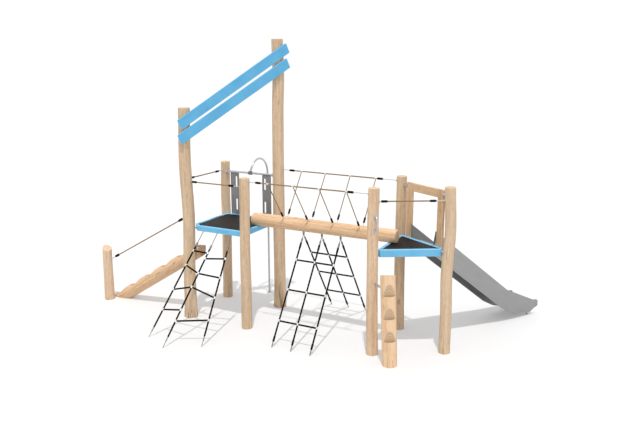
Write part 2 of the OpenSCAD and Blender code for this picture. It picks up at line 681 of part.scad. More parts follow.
// Fire pole behind the square tower, its cross bar and the panels beside the way to it
panel_y = square_side - square_inset + seat + panel_t / 2;
pole_x = square_side / 2;
bar_h = tower_post_h - bar_drop;
arch_z = bar_h + arch_rise - arch_r;
pole_y = panel_y + sqrt(pow(arch_r, 2) - pow(bar_h - arch_z, 2)) + arch_r;
bar_boss_d = 54;
bar_boss_l = 12;
boss_start_share = 0.5;
bar_collar_d = 58;
bar_collar_l = 64;
pole_foot_d = 76;
pole_foot_t = 8;
bar_from = axis_at(rear_post, bar_h)[0] + radius_at(rear_post, bar_h) + bar_boss_l;
bar_to = axis_at(high_post, bar_h)[0] - radius_at(high_post, bar_h) - bar_boss_l;
module pole_bar() {
    color(steel_col) site() bar([bar_from, panel_y, bar_h], [bar_to, panel_y, bar_h], pole_d);
}
module pole_bar_flanges() {
    color(steel_col) site() for (e = [[rear_post, bar_from], [high_post, bar_to]]) {
        a = axis_at(e[0], bar_h);
        difference() {
            bar([mix(a[0], e[1], boss_start_share), panel_y, bar_h], [e[1], panel_y, bar_h], bar_boss_d);
            translate(lift(a, bar_h - bar_boss_d))
                cylinder(r = radius_at(e[0], bar_h) + seat, h = 2 * bar_boss_d);
        }
    }
}
arch_from = asin((bar_h - arch_z) / arch_r) + atan((bar_collar_d / 2 + seat) / arch_r);
module fire_pole() {
    color(steel_col) site() {
        translate([pole_x, pole_y, pole_foot_t]) cylinder(d = pole_d, h = arch_z - pole_foot_t);
        translate([pole_x, pole_y, 0]) cylinder(d = pole_foot_d, h = pole_foot_t);
        translate([pole_x, pole_y - arch_r, arch_z]) rotate([90, 0, 90])
            rotate_extrude(angle = 180 - arch_from) translate([arch_r, 0]) circle(d = pole_d);
    }
}
module fire_pole_clamp() {
    color(grey_col) site() translate([pole_x - bar_collar_l / 2, panel_y, bar_h])
        rotate([0, 90, 0]) difference() {
        cylinder(d = bar_collar_d, h = bar_collar_l);
        translate([0, 0, -over]) cylinder(d = pole_d + 2 * seat, h = bar_collar_l + 2 * over);
    }
}
panel_foot_h = deck_h - rim_h;
panel_top_h = bar_h - pole_d / 2 - seat;
panel_edge = 14;
slot_shares = [0.3218, 0.8097];
module side_panel(s) {
    x = pole_x + s * panel_way / 2;
    lo = min(x, x + s * panel_w);
    slot_x = x + s * slot_in;
    color(grey_col) site() translate([0, panel_y + panel_t / 2, 0]) rotate([90, 0, 0]) difference() {
        linear_extrude(panel_t) polygon(rounded([[lo, panel_foot_h], [lo + panel_w, panel_foot_h],
            [lo + panel_w, panel_top_h], [lo, panel_top_h]],
            [panel_edge, panel_edge, panel_edge, panel_edge]));
        for (share = slot_shares) translate([slot_x, mix(panel_foot_h, panel_top_h, share), -over]) {
            for (e = [-1, 1]) translate([0, e * (slot_l - slot_w) / 2, 0])
                cylinder(d = slot_w, h = panel_t + 2 * over);
            translate([-slot_w / 2, -(slot_l - slot_w) / 2, 0])
                cube([slot_w, slot_l - slot_w, panel_t + 2 * over]);
        }
    }
}
module side_panel_left() { side_panel(-1); }
module side_panel_right() { side_panel(1); }

// Grab handle: a bow of two quarter ellipses that meet at its furthest point, on round flanges
handle_dir = unit(step_axis(handle_top_h) - axis_at(slide_front_post, handle_top_h));
handle_bow_share = 0.72;
handle_flange_d = 60;
handle_flange_t = 8;
bow_up = handle_l * handle_bow_share;
bow_down = handle_l - bow_up;
bow_out = handle_out - handle_flange_t / 2;
bow_rings = 20;
bow_sides = 14;
function bow_rise(a) = a > 0 ? bow_up : bow_down;
function bow_ring(a) =
    let (p = [handle_flange_t / 2 + bow_out * cos(a), 0, bow_rise(a) * sin(a)],
         side = unit([bow_rise(a) * cos(a), 0, bow_out * sin(a)]))
    [for (j = [0 : bow_sides - 1])
        let (w = j * 360 / bow_sides) p + handle_d / 2 * (cos(w) * side + [0, sin(w), 0])];
module bow() { loft([for (i = [0 : bow_rings]) bow_ring(mix(-90, 90, i / bow_rings))]); }
module grab_handle() {
    base = on_post(slide_front_post, handle_top_h - bow_up, handle_dir);
    color(steel_col) site() translate(base) rotate(atan2(handle_dir[1], handle_dir[0])) {
        bow();
        for (z = [bow_up, -bow_down]) translate([0, 0, z]) rotate([0, 90, 0])
            cylinder(d = handle_flange_d, h = handle_flange_t);
    }
}

// Front net: three strands from the square rim to the ground, with uneven rungs
front_net_shift = 15;
front_net_x = bridge_y - front_net_shift;
front_net_top_y = square_inset + rim_w / 2;
rim_under_h = deck_h - rim_h;
front_strands = [for (i = [0 : 2])
    [[front_net_x + (i - 1) * front_net_pitch, front_net_top_y, rim_under_h], lift(front_anchors[i], 0)]];
front_rope_shares = [0.15, 0.91];
front_rungs_shares = [[0, 0.19, 1, 0.185], [1, 0.235, 2, 0.222], [0, 0.33, 1, 0.367], [1, 0.367, 2, 0.397],
    [0, 0.56, 1, 0.487], [1, 0.487, 2, 0.576], [0, 0.748, 1, 0.684], [1, 0.778, 2, 0.772]];
front_joint_shares = [[0.19, 0.33, 0.56, 0.748], [0.185, 0.235, 0.367, 0.487, 0.684, 0.778],
    [0.222, 0.397, 0.576, 0.772]];
ferrule_d = 22;
ferrule_l = 70;
anchor_d = 12;
anchor_eye_d = 30;

function at(s, t) = mix(s[0], s[1], t);
module clamp_at(s, t) {
    d = unit(s[1] - s[0]);
    along(at(s, t) - d * clamp_l / 2, s[1]) difference() {
        cylinder(d = clamp_d, h = clamp_l);
        translate([0, 0, -over]) cylinder(d = net_d + 2 * seat, h = clamp_l + 2 * over);
    }
}
// Distance from a strand's axis to the square end of a rung that meets its clamp at a slant
function rung_seat(s, d) =
    let (c = abs(unit(s[1] - s[0]) * d)) (clamp_d / 2 + seat + c * net_d / 2) / sqrt(1 - c * c);
module rung_between(s, t, to, t_to) {
    a = at(s, t);
    b = at(to, t_to);
    d = unit(b - a);
    bar(a + d * rung_seat(s, d), b - d * rung_seat(to, d), net_d);
}
module ground_anchor(a, b) {
    intersection() {
        along(a, b) {
            cylinder(d = net_d, h = ferrule_l);
            translate([0, 0, ferrule_l]) cylinder(d = anchor_d, h = norm(b - a) + over);
        }
        translate(lift(flat(b) - [deck_h, deck_h], 0)) cube([2 * deck_h, 2 * deck_h, deck_h]);
    }
}
// Steel cable with a ferrule on its lower end, its square upper end seated just under a
module top_cable(a, b) {
    d = unit(a - b);
    drop = (cable_d / 2 * norm(flat(d)) + seat) / d[2];
    along(b, a) {
        cylinder(d = ferrule_d, h = ferrule_l);
        cylinder(d = cable_d, h = norm(a - b) - drop);
    }
}
module front_net_strands() {
    color(black_col) site() for (s = front_strands)
        bar(at(s, front_rope_shares[0]), at(s, front_rope_shares[1]), net_d);
}
module front_net_rungs() {
    color(black_col) site() for (r = front_rungs_shares)
        rung_between(front_strands[r[0]], r[1], front_strands[r[2]], r[3]);
}
module front_net_clamps() {
    color(steel_col) site() for (i = [0 : 2], t = front_joint_shares[i]) clamp_at(front_strands[i], t);
}
module front_net_cables() {
    color(steel_col) site() for (s = front_strands) top_cable(s[0], at(s, front_rope_shares[0]));
}
module front_net_anchors() {
    color(steel_col) site() for (s = front_strands) ground_anchor(at(s, front_rope_shares[1]), s[1]);
}

// Bridge net: an A-shaped net that hangs under the log and spreads to the ground on both sides
bridge_net_shift = 10;
bridge_net_x = bridge_mid - bridge_net_shift;
eye_l = 50;
eye_d = 26;
eye_half = 6;
net_top_h = log_z - log_d / 2 - seat - eye_l;
bridge_strands = [for (s = [-1, 1], i = [-1 : 1])
    [[bridge_net_x + i * bridge_net_pitch, bridge_y + s * eye_half, net_top_h],
     [bridge_net_x + i * bridge_net_pitch, bridge_y + s * bridge_net_spread, 0]]];
bridge_rope_shares = [0.075, 0.95];
bridge_rung_shares = [0.233, 0.5, 0.773];
module bridge_net_strands() {
    color(black_col) site() for (s = bridge_strands)
        bar(at(s, bridge_rope_shares[0]), at(s, bridge_rope_shares[1]), net_d);
}
module bridge_net_rungs() {
    color(black_col) site() for (k = [0, 1, 3, 4], t = bridge_rung_shares)
        rung_between(bridge_strands[k], t, bridge_strands[k + 1], t);
}
module bridge_net_clamps() {
    color(steel_col) site() for (s = bridge_strands, t = bridge_rung_shares) clamp_at(s, t);
}
module bridge_net_shackles() {
    color(steel_col) site() for (i = [0 : 2]) {
        x = bridge_strands[i][0][0];
        translate([x, bridge_y, net_top_h]) cylinder(d = eye_d, h = eye_l);
        for (k = [i, i + 3]) top_cable(bridge_strands[k][0], at(bridge_strands[k], bridge_rope_shares[0]));
    }
}
module bridge_net_anchors() {
    color(steel_col) site() for (s = bridge_strands) ground_anchor(at(s, bridge_rope_shares[1]), s[1]);
}

// Slide portal and slide, in a frame whose X runs out along the slide, with the portal's middle as its origin
module at_portal() { site() translate(lift(portal_mid, 0)) rotate(portal_turn + 90) children(); }
portal_foot_h = deck_h - triangle_rim_h;
portal_spacer_d = 60;
module portal_post(s) {
    y = s * (portal_way / 2 + portal_post_w / 2);
    color(log_col) at_portal() translate([portal_face, y - portal_post_w / 2, portal_foot_h])
        cube([portal_t, portal_post_w, portal_h - portal_foot_h]);
}
module portal_post_left() { portal_post(1); }
module portal_post_right() { portal_post(-1); }
module portal_beam() {
    color(log_col) at_portal() translate([portal_face, -portal_way / 2, portal_h - portal_beam_h])
        cube([portal_t, portal_way, portal_beam_h]);
}
module portal_spacers() {
    z = portal_h - portal_beam_h / 2;
    edge = portal_way / 2 + portal_post_w;
    color(steel_col) site() for (e = [[slide_rear_post, -1], [slide_side_post, 1]]) {
        a = axis_at(e[0], z);
        k = (a - portal_mid) * slide_dir;
        bar(on_post(e[0], z, -portal_dir * e[1]),
            lift(portal_mid + slide_dir * k + portal_dir * edge * e[1], z),
            portal_spacer_d);
    }
}

// Slide: the bed's path is a straight fall, a bend between the two straight lines, and a run-out
bend_points = 10;
bend_from_share = 0.6989;
bend_to_share = 0.8399;
bed_nose_share = 0.9731;
bend_from = [slide_reach * bend_from_share, slide_bend_h];
bend_to = [slide_reach * bend_to_share, slide_run_h];
bed_nose = [slide_reach * bed_nose_share, slide_nose_h];
fall = (deck_h - bend_from[1]) / bend_from[0];
run_fall = (bend_to[1] - bed_nose[1]) / (bed_nose[0] - bend_to[0]);
function run_at(u) = bend_to[1] - (u - bend_to[0]) * run_fall;
bend_mid_u = (deck_h - run_at(0)) / (fall - run_fall);
bend_mid = [bend_mid_u, run_at(bend_mid_u)];
bend = [for (i = [0 : bend_points]) let (s = i / bend_points)
    mix(mix(bend_from, bend_mid, s), mix(bend_mid, bend_to, s), s)];
bed_line = concat([[portal_face, deck_h], [0, deck_h]], bend, [bed_nose]);
function bed_path(t) = [for (p = bed_line) p - [0, t]];
bed_clear = 2 * seat;
bed_level_share = 0.56;
bed_w = portal_way - 2 * (slide_flare * bed_level_share + slide_side_t + bed_clear);
module across_slide(w) { translate([0, w / 2, 0]) rotate([90, 0, 0]) linear_extrude(w) children(); }
module slide_bed() {
    under = bed_path(slide_bed_t);
    color(slide_col) at_portal() across_slide(bed_w)
        polygon(concat(bed_path(0), [for (i = [len(under) - 1 : -1 : 0]) under[i]]));
}
side_knee_share = 0.67;
side_out_share = 0.945;
nose_h = 250;
lip_u_share = 0.985;
lip_h = 140;
tip_u_share = 0.972;
tip_h = 88;
toe_h = 46;
toe_u_share = 0.935;
heel_u_share = 0.66;
heel_h = 250;
sole_u_share = 0.775;
sole_h = 112;
side_under = 132;
knee_drop = 1138;
out_h = 276;
// Each side leans out: its top and bottom edges are two rounded lines, joined point by point
side_top_edge = [[portal_face, deck_h + slide_side_rise],
    [slide_reach * side_knee_share, deck_h + slide_side_rise - knee_drop],
    [slide_reach * side_out_share, out_h], [slide_reach, nose_h],
    [slide_reach * lip_u_share, lip_h]];
side_foot_edge = [[portal_face, deck_h - side_under], [slide_reach * heel_u_share, heel_h],
    [slide_reach * sole_u_share, sole_h], [slide_reach * toe_u_share, toe_h],
    [slide_reach * tip_u_share, tip_h]];
side_top_rounds = [0, 180, 60, 45, 0];
side_foot_rounds = [0, 300, 500, 120, 0];
module slide_side() {
    top = rounded(side_top_edge, side_top_rounds);
    foot = rounded(side_foot_edge, side_foot_rounds);
    out = portal_way / 2 - seat;
    low = out - slide_flare;
    color(slide_col) loft([for (i = [0 : len(top) - 1]) [
        [foot[i][0], low - slide_side_t, foot[i][1]], [foot[i][0], low, foot[i][1]],
        [top[i][0], out, top[i][1]], [top[i][0], out - slide_side_t, top[i][1]]]]);
}
module slide_side_left() { at_portal() slide_side(); }
module slide_side_right() { at_portal() mirror([0, 1, 0]) slide_side(); }
foot_d = 30;
foot_plate_d = 70;
foot_plate_t = 8;
foot_u_share = 0.952;
module slide_foot() {
    u = slide_reach * foot_u_share;
    z = run_at(u + foot_d / 2) - slide_bed_t - seat;
    color(steel_col) at_portal() for (s = [-1, 1]) translate([u, s * (bed_w / 2 - 2 * foot_d), 0]) {
        cylinder(d = foot_d, h = z);
        cylinder(d = foot_plate_d, h = foot_plate_t);
    }
}

roof_post_low();
roof_post_high();
square_tower_post_rear();
square_tower_post_front();
slide_tower_post_front();
slide_tower_post_rear();
slide_tower_post_side();
ramp_post();
square_deck_rim();
square_deck_board();
square_deck_spacers();
triangle_deck_rim();
triangle_deck_board();
triangle_deck_spacers();
balance_log();
rail_rope_front();
rail_rope_rear();
guard_rope_left();
guard_rope_front();
guard_rope_slide_tower();
ramp_rope();
rope_sleeves();
rope_end_rods();
tie_ropes();
tie_sleeves();
tie_end_eyes();
tie_clamps();
roof_board_upper();
roof_board_lower();
ramp_log();
ramp_log_spacer();
step_post();
step_post_spacer();
pole_bar();
pole_bar_flanges();
fire_pole();
fire_pole_clamp();
side_panel_left();
side_panel_right();
grab_handle();
front_net_strands();
front_net_rungs();
front_net_clamps();
front_net_cables();
front_net_anchors();
bridge_net_strands();
bridge_net_rungs();
bridge_net_clamps();
bridge_net_shackles();
bridge_net_anchors();
portal_post_left();
portal_post_right();
portal_beam();
portal_spacers();
slide_bed();
slide_side_left();
slide_side_right();
slide_foot();
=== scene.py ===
import math

import bpy
import numpy as np
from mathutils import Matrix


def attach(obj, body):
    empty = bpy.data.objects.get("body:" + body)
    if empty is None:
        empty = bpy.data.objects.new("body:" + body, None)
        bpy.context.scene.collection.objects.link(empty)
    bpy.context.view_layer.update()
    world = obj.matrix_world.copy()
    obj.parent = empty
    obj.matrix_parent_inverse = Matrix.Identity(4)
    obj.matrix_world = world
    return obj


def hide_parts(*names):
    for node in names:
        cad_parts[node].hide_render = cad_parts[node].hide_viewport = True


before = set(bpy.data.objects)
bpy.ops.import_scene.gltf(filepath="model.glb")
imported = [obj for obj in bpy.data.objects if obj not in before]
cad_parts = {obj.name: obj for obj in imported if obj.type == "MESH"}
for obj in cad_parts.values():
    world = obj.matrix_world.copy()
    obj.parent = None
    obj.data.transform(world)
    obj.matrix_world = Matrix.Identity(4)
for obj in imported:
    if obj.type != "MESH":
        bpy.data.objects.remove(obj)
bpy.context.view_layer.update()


# Camera and studio: a pale floor and backdrop without a horizon, high soft sunlight from the right front
# and an even sky. Only what the camera sees of floor and sky is lifted to white; the shadow stays.
def rgb(r, g, b):
    """Linear colour of a written 8-bit sRGB colour."""
    c = np.array([r, g, b]) / 255
    return (*np.where(c <= 0.04045, c / 12.92, ((c + 0.055) / 1.055) ** 2.4), 1.0)


def add(tree, kind, inputs=None, **settings):
    """A shader node with its settings, each input either linked from a socket or set to a value."""
    node = tree.nodes.new("ShaderNode" + kind)
    for key, value in settings.items():
        setattr(node, key, value)
    for key, value in (inputs or {}).items():
        if isinstance(value, bpy.types.NodeSocket):
            tree.links.new(value, node.inputs[key])
        else:
            node.inputs[key].default_value = value
    return node


def maths(operation, a, b=0.0, c=0.0):
    """One arithmetic step on values, in the tree of those that are linked."""
    tree = next(value.id_data for value in (a, b, c) if isinstance(value, bpy.types.NodeSocket))
    return add(tree, "Math", {0: a, 1: b, 2: c}, operation=operation).outputs[0]


def bare_tree(owner):
    """The emptied node tree of a world or a material."""
    owner.use_nodes = True
    owner.node_tree.nodes.clear()
    return owner.node_tree


def lit_and_seen(tree, output, lit, seen):
    """One shader for the light that is thrown on the object, and another for rays that show the background: from
    the camera, off a gloss or through glass."""
    rays = add(tree, "LightPath").outputs
    shows = maths("MAXIMUM", rays["Is Camera Ray"], rays["Is Glossy Ray"])
    shows = maths("MAXIMUM", shows, rays["Is Transmission Ray"])
    both = add(tree, "MixShader", {0: shows, 1: lit.outputs[0], 2: seen.outputs[0]})
    add(tree, output, {"Surface": both.outputs[0]})


def in_scene(name, data):
    """A new object at the origin that shows the data."""
    shown = bpy.data.objects.new(name, data)
    bpy.context.collection.objects.link(shown)
    return shown


scene = bpy.context.scene
scene.view_settings.view_transform = "Standard"
focal_pixels, photo_width = 675.7, 637
camera_turn, camera_fall = math.radians(27.16), math.radians(12.945)
camera = scene.camera = in_scene("camera", bpy.data.cameras.new("camera"))
camera.data.sensor_width = 36
camera.data.lens = focal_pixels / photo_width * camera.data.sensor_width
camera.location = (4.92521, -8.96816, 4.043)
camera.rotation_euler = (math.pi / 2 - camera_fall, 0, camera_turn)

shadow_back, shadow_left = 0.28, 0.14
sun = in_scene("sun", bpy.data.lights.new("sun", "SUN"))
sun.data.energy = 1.8
sun.data.angle = math.radians(1.4)
sun.data.color = (1.0, 0.985, 0.96)
sun.rotation_euler = (math.atan(shadow_back), math.atan(shadow_left), 0)

white = (1, 1, 1, 1)
scene.world = bpy.data.worlds.new("sky")
tree = bare_tree(scene.world)
lit_and_seen(tree, "OutputWorld", add(tree, "Background", {"Color": white, "Strength": 0.75}),
             add(tree, "Background", {"Color": white, "Strength": 1.0}))

floor_mesh = bpy.data.meshes.new("floor")
floor_mesh.from_pydata([(-60, -60, 0), (60, -60, 0), (60, 60, 0), (-60, 60, 0)], [], [(0, 1, 2, 3)])
floor = in_scene("floor", floor_mesh)
pale = bpy.data.materials.new("pale_floor")
tree = bare_tree(pale)
ground = add(tree, "BsdfDiffuse", {"Color": (0.65, 0.65, 0.658, 1)})
lift = add(tree, "Emission", {"Color": white, "Strength": 0.22})
lit_and_seen(tree, "OutputMaterial", add(tree, "BsdfDiffuse", {"Color": (0.66, 0.66, 0.66, 1)}),
             add(tree, "AddShader", {0: ground.outputs[0], 1: lift.outputs[0]}))
floor.data.materials.append(pale)


# Round timber posts: debarked natural poles that keep their crook, rounded over at the top edge.
# The two tall ones keep their lobed root flare, and the ramp post is cut at a slant.
def group(name, inputs, outputs):
    """An empty shader node group with its named sockets, and its input and output nodes."""
    tree = bpy.data.node_groups.new(name, "ShaderNodeTree")
    for kind, sockets in (("INPUT", inputs), ("OUTPUT", outputs)):
        for label, sort in sockets.items():
            tree.interface.new_socket(label, in_out=kind, socket_type="NodeSocket" + sort)
    return tree, tree.nodes.new("NodeGroupInput").outputs, tree.nodes.new("NodeGroupOutput").inputs


def steps(value, *stops):
    """A colour ramp from (place, grey or colour) stops."""
    ramp = add(value.id_data, "ValToRGB", {0: value})
    for i, (place, colour) in enumerate(stops):
        stop = ramp.color_ramp.elements[i] if i < 2 else ramp.color_ramp.elements.new(place)
        stop.position = place
        stop.color = colour if isinstance(colour, tuple) else (colour, colour, colour, 1)
    return ramp.outputs[0]


def blend_of(share, a, b, how="MIX"):
    """Colour b over colour a by a share."""
    return add(a.id_data, "Mix", {0: share, 6: a, 7: b}, data_type="RGBA", blend_type=how).outputs[2]


def times(a, b, plus=0.0):
    """a times b, and a value added."""
    return maths("MULTIPLY_ADD", a, b, plus)


def noise(vector, scale, detail, rough=0.5):
    """Soft noise about one half."""
    grain = {"Vector": vector, "Scale": scale, "Detail": detail, "Roughness": rough}
    return add(vector.id_data, "TexNoise", grain).outputs[0]


def feed(sockets, values):
    """Each value linked to the socket of its name."""
    for label, value in values.items():
        value.id_data.links.new(value, sockets[label])


def timber_group():
    """Grain of a round pole in its own frame (two radial axes, then along): long soft streaks, fine fibres,
    drying checks along the pole and oval knots. End is above 0 where the wood is cut and shows its year rings,
    and below 0 where the foot has split."""
    tree, i, o = group("timber_grain", {"Grain": "Vector", "End": "Float"},
                       {"Tone": "Float", "Check": "Float", "Knot": "Float", "Height": "Float"})
    grain, end, ring_width = i["Grain"], i["End"], 0.011
    drawn = lambda vector, length: add(tree, "Mapping", {"Vector": vector, "Scale": (1, 1, length)}).outputs[0]
    knots = add(tree, "TexVoronoi", {"Vector": drawn(grain, 0.42), "Scale": 3.4}).outputs["Distance"]
    knot = steps(knots, (0.035, 1.0), (0.09, 0.0))
    near = steps(knots, (0.05, 1.0), (0.3, 0.0))
    wave = add(tree, "TexNoise", {"Vector": grain, "Scale": 2.2, "Detail": 2.0}).outputs["Color"]
    bent = add(tree, "VectorMath", {0: wave, 1: (0.5, 0.5, 0.5)}, operation="SUBTRACT").outputs[0]
    shift = add(tree, "VectorMath", {0: bent, "Scale": times(near, 0.10, 0.035)}, operation="SCALE").outputs[0]
    swayed = add(tree, "VectorMath", {0: grain, 1: shift}, operation="ADD").outputs[0]
    streak = noise(drawn(swayed, 0.045), 34.0, 5.0, 0.62)
    broad = noise(drawn(swayed, 0.045), 9.0, 2.0)
    fibre = noise(drawn(swayed, 0.02), 260.0, 3.0, 0.7)
    fleck = noise(drawn(grain, 0.25), 60.0, 2.0)
    line = steps(noise(drawn(swayed, 0.03), 21.0, 1.0), (0.49, 0.0), (0.51, 0.0), (0.5, 1.0))
    patch = steps(noise(grain, 1.7, 1.0), (0.52, 0.0), (0.62, 1.0))
    gape = steps(noise(drawn(swayed, 0.1), 12.0, 1.0), (0.455, 0.0), (0.545, 0.0), (0.5, 1.0))
    split = times(gape, maths("MAXIMUM", times(end, -1.0), 0.0))
    cut = steps(end, (0.3, 0.0), (0.6, 1.0))
    side = maths("SUBTRACT", 1.0, cut)
    check = maths("MAXIMUM", times(times(line, patch), side), split)
    out = add(tree, "VectorMath", {0: drawn(swayed, 0.0)}, operation="LENGTH").outputs["Value"]
    rings = maths("SINE", times(out, 2 * math.pi / ring_width))
    ring = times(rings, 0.2, times(fleck, 0.3, 0.35))
    tone = times(streak, 0.6, times(broad, 0.4))
    for fine in (fibre, fleck):
        tone = times(maths("SUBTRACT", fine, 0.5), 0.35, tone)
    tone = add(tree, "Mix", {0: cut, 2: tone, 3: ring}).outputs[0]
    high = times(fibre, 0.35, times(tone, 0.5))
    high = maths("SUBTRACT", high, times(check, 1.6))
    feed(o, {"Tone": tone, "Check": check, "Knot": times(knot, side), "Height": high})
    return tree


def new_material(name, gloss=0.5, metallic=0.0):
    """A material of one Principled shader with its constant values, and its tree and shader."""
    material = bpy.data.materials.new(name)
    tree = bare_tree(material)
    shader = add(tree, "BsdfPrincipled", {"Specular IOR Level": gloss, "Metallic": metallic})
    add(tree, "OutputMaterial", {"Surface": shader.outputs[0]})
    return material, tree, shader


def dress(shader, colour, rough, height, strength, deep):
    """Colour, roughness and the relief of a height for a shader, the relief so many metres deep at full strength."""
    relief = add(shader.id_data, "Bump", {"Height": height, "Strength": strength, "Distance": deep}).outputs[0]
    feed(shader.inputs, {"Base Color": colour, "Roughness": rough, "Normal": relief})


def marked(tree, label, kind="Vector"):
    """What an attribute of the piece says, as a vector or as a value (Fac)."""
    return add(tree, "Attribute", attribute_name=label).outputs[kind]


def timber(name, dark, middle, light, check_colour, knot_colour, sawn_and_shade=None):
    """Bare timber: colour by the tone of its grain, dark in checks and knots, greyed where it is cut across (partly
    the cut wood's own tone, partly painted shade of notches and cut ends), painted dark as shade on ledges, rough,
    with raised grain."""
    material, tree, shader = new_material(name, 0.3)
    end = marked(tree, "end", "Fac")
    wood = add(tree, "Group", {"Grain": marked(tree, "grain"), "End": end}, node_tree=timber_grain).outputs
    colour = steps(wood["Tone"], (0.3, dark), (0.7, light), (0.5, middle))
    if sawn_and_shade:
        # Cut faces greyed: partly the cut wood's own tone, partly painted shade in the notches and on the cut ends.
        colour = blend_of(steps(end, (0.35, 0.0), (0.6, 0.42)), colour, sawn_and_shade)
    colour = blend_of(times(wood["Knot"], 0.6), colour, knot_colour)
    colour = blend_of(times(wood["Check"], 0.75), colour, check_colour)
    # Painted shade: faces marked 1 and more, the ledges at the foot of the step post's notches, darkened toward the
    # check colour as the shade in the crevice there.
    colour = blend_of(steps(end, (0.85, 0.0), (1.0, 0.6)), colour, check_colour)
    dress(shader, colour, times(wood["Tone"], -0.2, 0.78), wood["Height"], 0.35, 0.004)
    return material


join = np.concatenate


def skin(points, grain=None, end=None, lay=None):
    """Closed surface over a grid of rings (rows x columns x 3): quads between neighbours, each ring closed,
    and a fan from the middle of the first and of the last ring. The attributes follow the same grid."""
    rows, cols = points.shape[:2]
    k = np.arange(rows * cols).reshape(rows, cols)
    right = np.roll(k, -1, axis=1)
    part = {"quads": np.stack([k[:-1], right[:-1], right[1:], k[1:]], -1).reshape(-1, 4),
            "fans": join([np.stack([right[0], k[0], np.full(cols, rows * cols)], -1),
                          np.stack([k[-1], right[-1], np.full(cols, rows * cols + 1)], -1)])}
    if end is not None:
        end = np.broadcast_to(np.asarray(end, float).reshape(rows, -1, 1), (rows, cols, 1))
    for label, values in (("points", points), ("grain", grain), ("end", end), ("lay", lay)):
        if values is not None:
            middles = [values[row].mean(0).reshape(1, -1) for row in (0, -1)]
            part[label] = join([values.reshape(rows * cols, -1), *middles])
    return part


def make(name, parts, material, slot, *nodes, crease=35):
    """One object from closed surfaces: mesh by whole arrays, smooth but for edges over the crease angle,
    riding on the frame and standing for its CAD nodes."""
    shift = np.cumsum([0] + [len(p["points"]) for p in parts])
    quads, fans = (join([p[sort] + s for p, s in zip(parts, shift)]) for sort in ("quads", "fans"))
    joined = lambda label: join([p[label] for p in parts]).ravel().astype(np.float32)
    mesh = bpy.data.meshes.new(name)
    mesh.vertices.add(shift[-1])
    mesh.vertices.foreach_set("co", joined("points"))
    loops = join([quads.ravel(), fans.ravel()]).astype(np.int32)
    mesh.loops.add(len(loops))
    mesh.loops.foreach_set("vertex_index", loops)
    starts = join([np.arange(len(quads)) * 4, len(quads) * 4 + np.arange(len(fans)) * 3]).astype(np.int32)
    mesh.polygons.add(len(starts))
    mesh.polygons.foreach_set("loop_start", starts)
    mesh.update(calc_edges=True)
    mesh.polygons.foreach_set("use_smooth", np.ones(len(starts), bool))
    mesh.set_sharp_from_angle(angle=math.radians(crease))
    for label, sort, key in (("grain", "FLOAT_VECTOR", "vector"), ("end", "FLOAT", "value"),
                             ("lay", "FLOAT_VECTOR", "vector")):
        if label in parts[0]:
            mesh.attributes.new(label, sort, "POINT").data.foreach_set(key, joined(label))
    mesh.materials.append(material)
    piece = in_scene(name, mesh)
    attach(piece, "root")
    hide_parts(*nodes)
    return piece


def wander(values, t):
    """Smooth curve through evenly spaced values (Catmull-Rom), t from 0 to 1."""
    v = np.asarray(values, float)
    x = np.clip(t, 0, 1) * (len(v) - 1)
    i = np.minimum(x.astype(int), len(v) - 2)
    f = x - i
    a, b, c, d = v[np.maximum(i - 1, 0)], v[i], v[i + 1], v[np.minimum(i + 2, len(v) - 1)]
    return b + f * ((c - a) + f * ((2 * a - 5 * b + 4 * c - d) + f * (3 * b - a - 3 * c + d))) / 2


site_mid = np.array([1.53779, 0.830159])
sway, sway_turn = 0.026, math.radians(27)
sway_dir = np.array([[math.cos(sway_turn), math.sin(sway_turn)], [-math.sin(sway_turn), math.cos(sway_turn)]])


def on_site(x, y, z=0.0):
    """Point of the shared frame from its place on the site plan and its height."""
    return np.array([x - site_mid[0], y - site_mid[1], z])


def post_axis(post, z):
    """Plan point of a post's axis at height z: its foot, moved by the two wanders of its crook."""
    foot, height, *_, along, across = post
    t = z / height
    bow = np.stack([wander(along, t), wander(across, t)], -1) @ sway_dir
    return np.asarray(foot) - site_mid + sway * bow


def post_surface(post, seed):
    """Rings round the wandering axis: the radius tapers from foot to top, swells into five lobes near the
    ground, ripples by a millimetre or two, and rounds in over the top edge to the cut end."""
    _, height, foot_r, top_r, flare, tilt, _, _ = post
    edge, flare_h, split_h, split_flare, row_gap, cols = 0.008, 0.42, 0.6, 0.05, 0.02, 96
    slant_from, slant_way, phase, shift = 0.8, math.radians(30) - math.pi, 1.7 * seed, 6.3 * seed
    bow = np.linspace(0, math.pi / 2, 6)[1:]
    side = np.linspace(0, height - edge, int(height / row_gap))
    z = join([[0.0], side, height - edge + edge * np.sin(bow), np.full(4, height)])[:, None]
    inset = join([np.zeros(len(side) + 1), edge * (1 - np.cos(bow)), np.full(4, edge)])[:, None]
    keep = join([[0.5], np.ones(len(side) + 5), [0.75, 0.5, 0.25, 0.1]])[:, None]
    a = np.linspace(0, 2 * math.pi, cols, endpoint=False)[None]
    r = foot_r + (top_r - foot_r) * z / height
    r = r * (1 + flare * np.maximum(0, 1 - z / flare_h) ** 2 * (1.4 + np.cos(5 * a)))
    for ripple, waves, climb, k in ((0.0011, 2, 3.1, 1), (0.0008, 3, -5.3, 2), (0.0005, 7, 2.2, 3)):
        r = r + ripple * np.sin(waves * a + climb * z + k * phase)
    r = (r - inset) * keep
    axis = post_axis(post, z[:, 0])
    slope = tilt * np.maximum(0, z / height - slant_from) / (1 - slant_from)
    x, y = r * np.cos(a), r * np.sin(a)
    high = z + slope * r * np.cos(a + slant_way)
    points = np.stack([axis[:, :1] + x, axis[:, 1:] + y, high], -1)
    split = -np.clip(1 - side / split_h, 0, 1) * (flare > split_flare)
    ends = join([[0.8], split, [0, 0, 0.3, 0.6, 0.8], np.full(4, 0.8)])
    return skin(points, np.stack([x, y, high + shift], -1), ends)


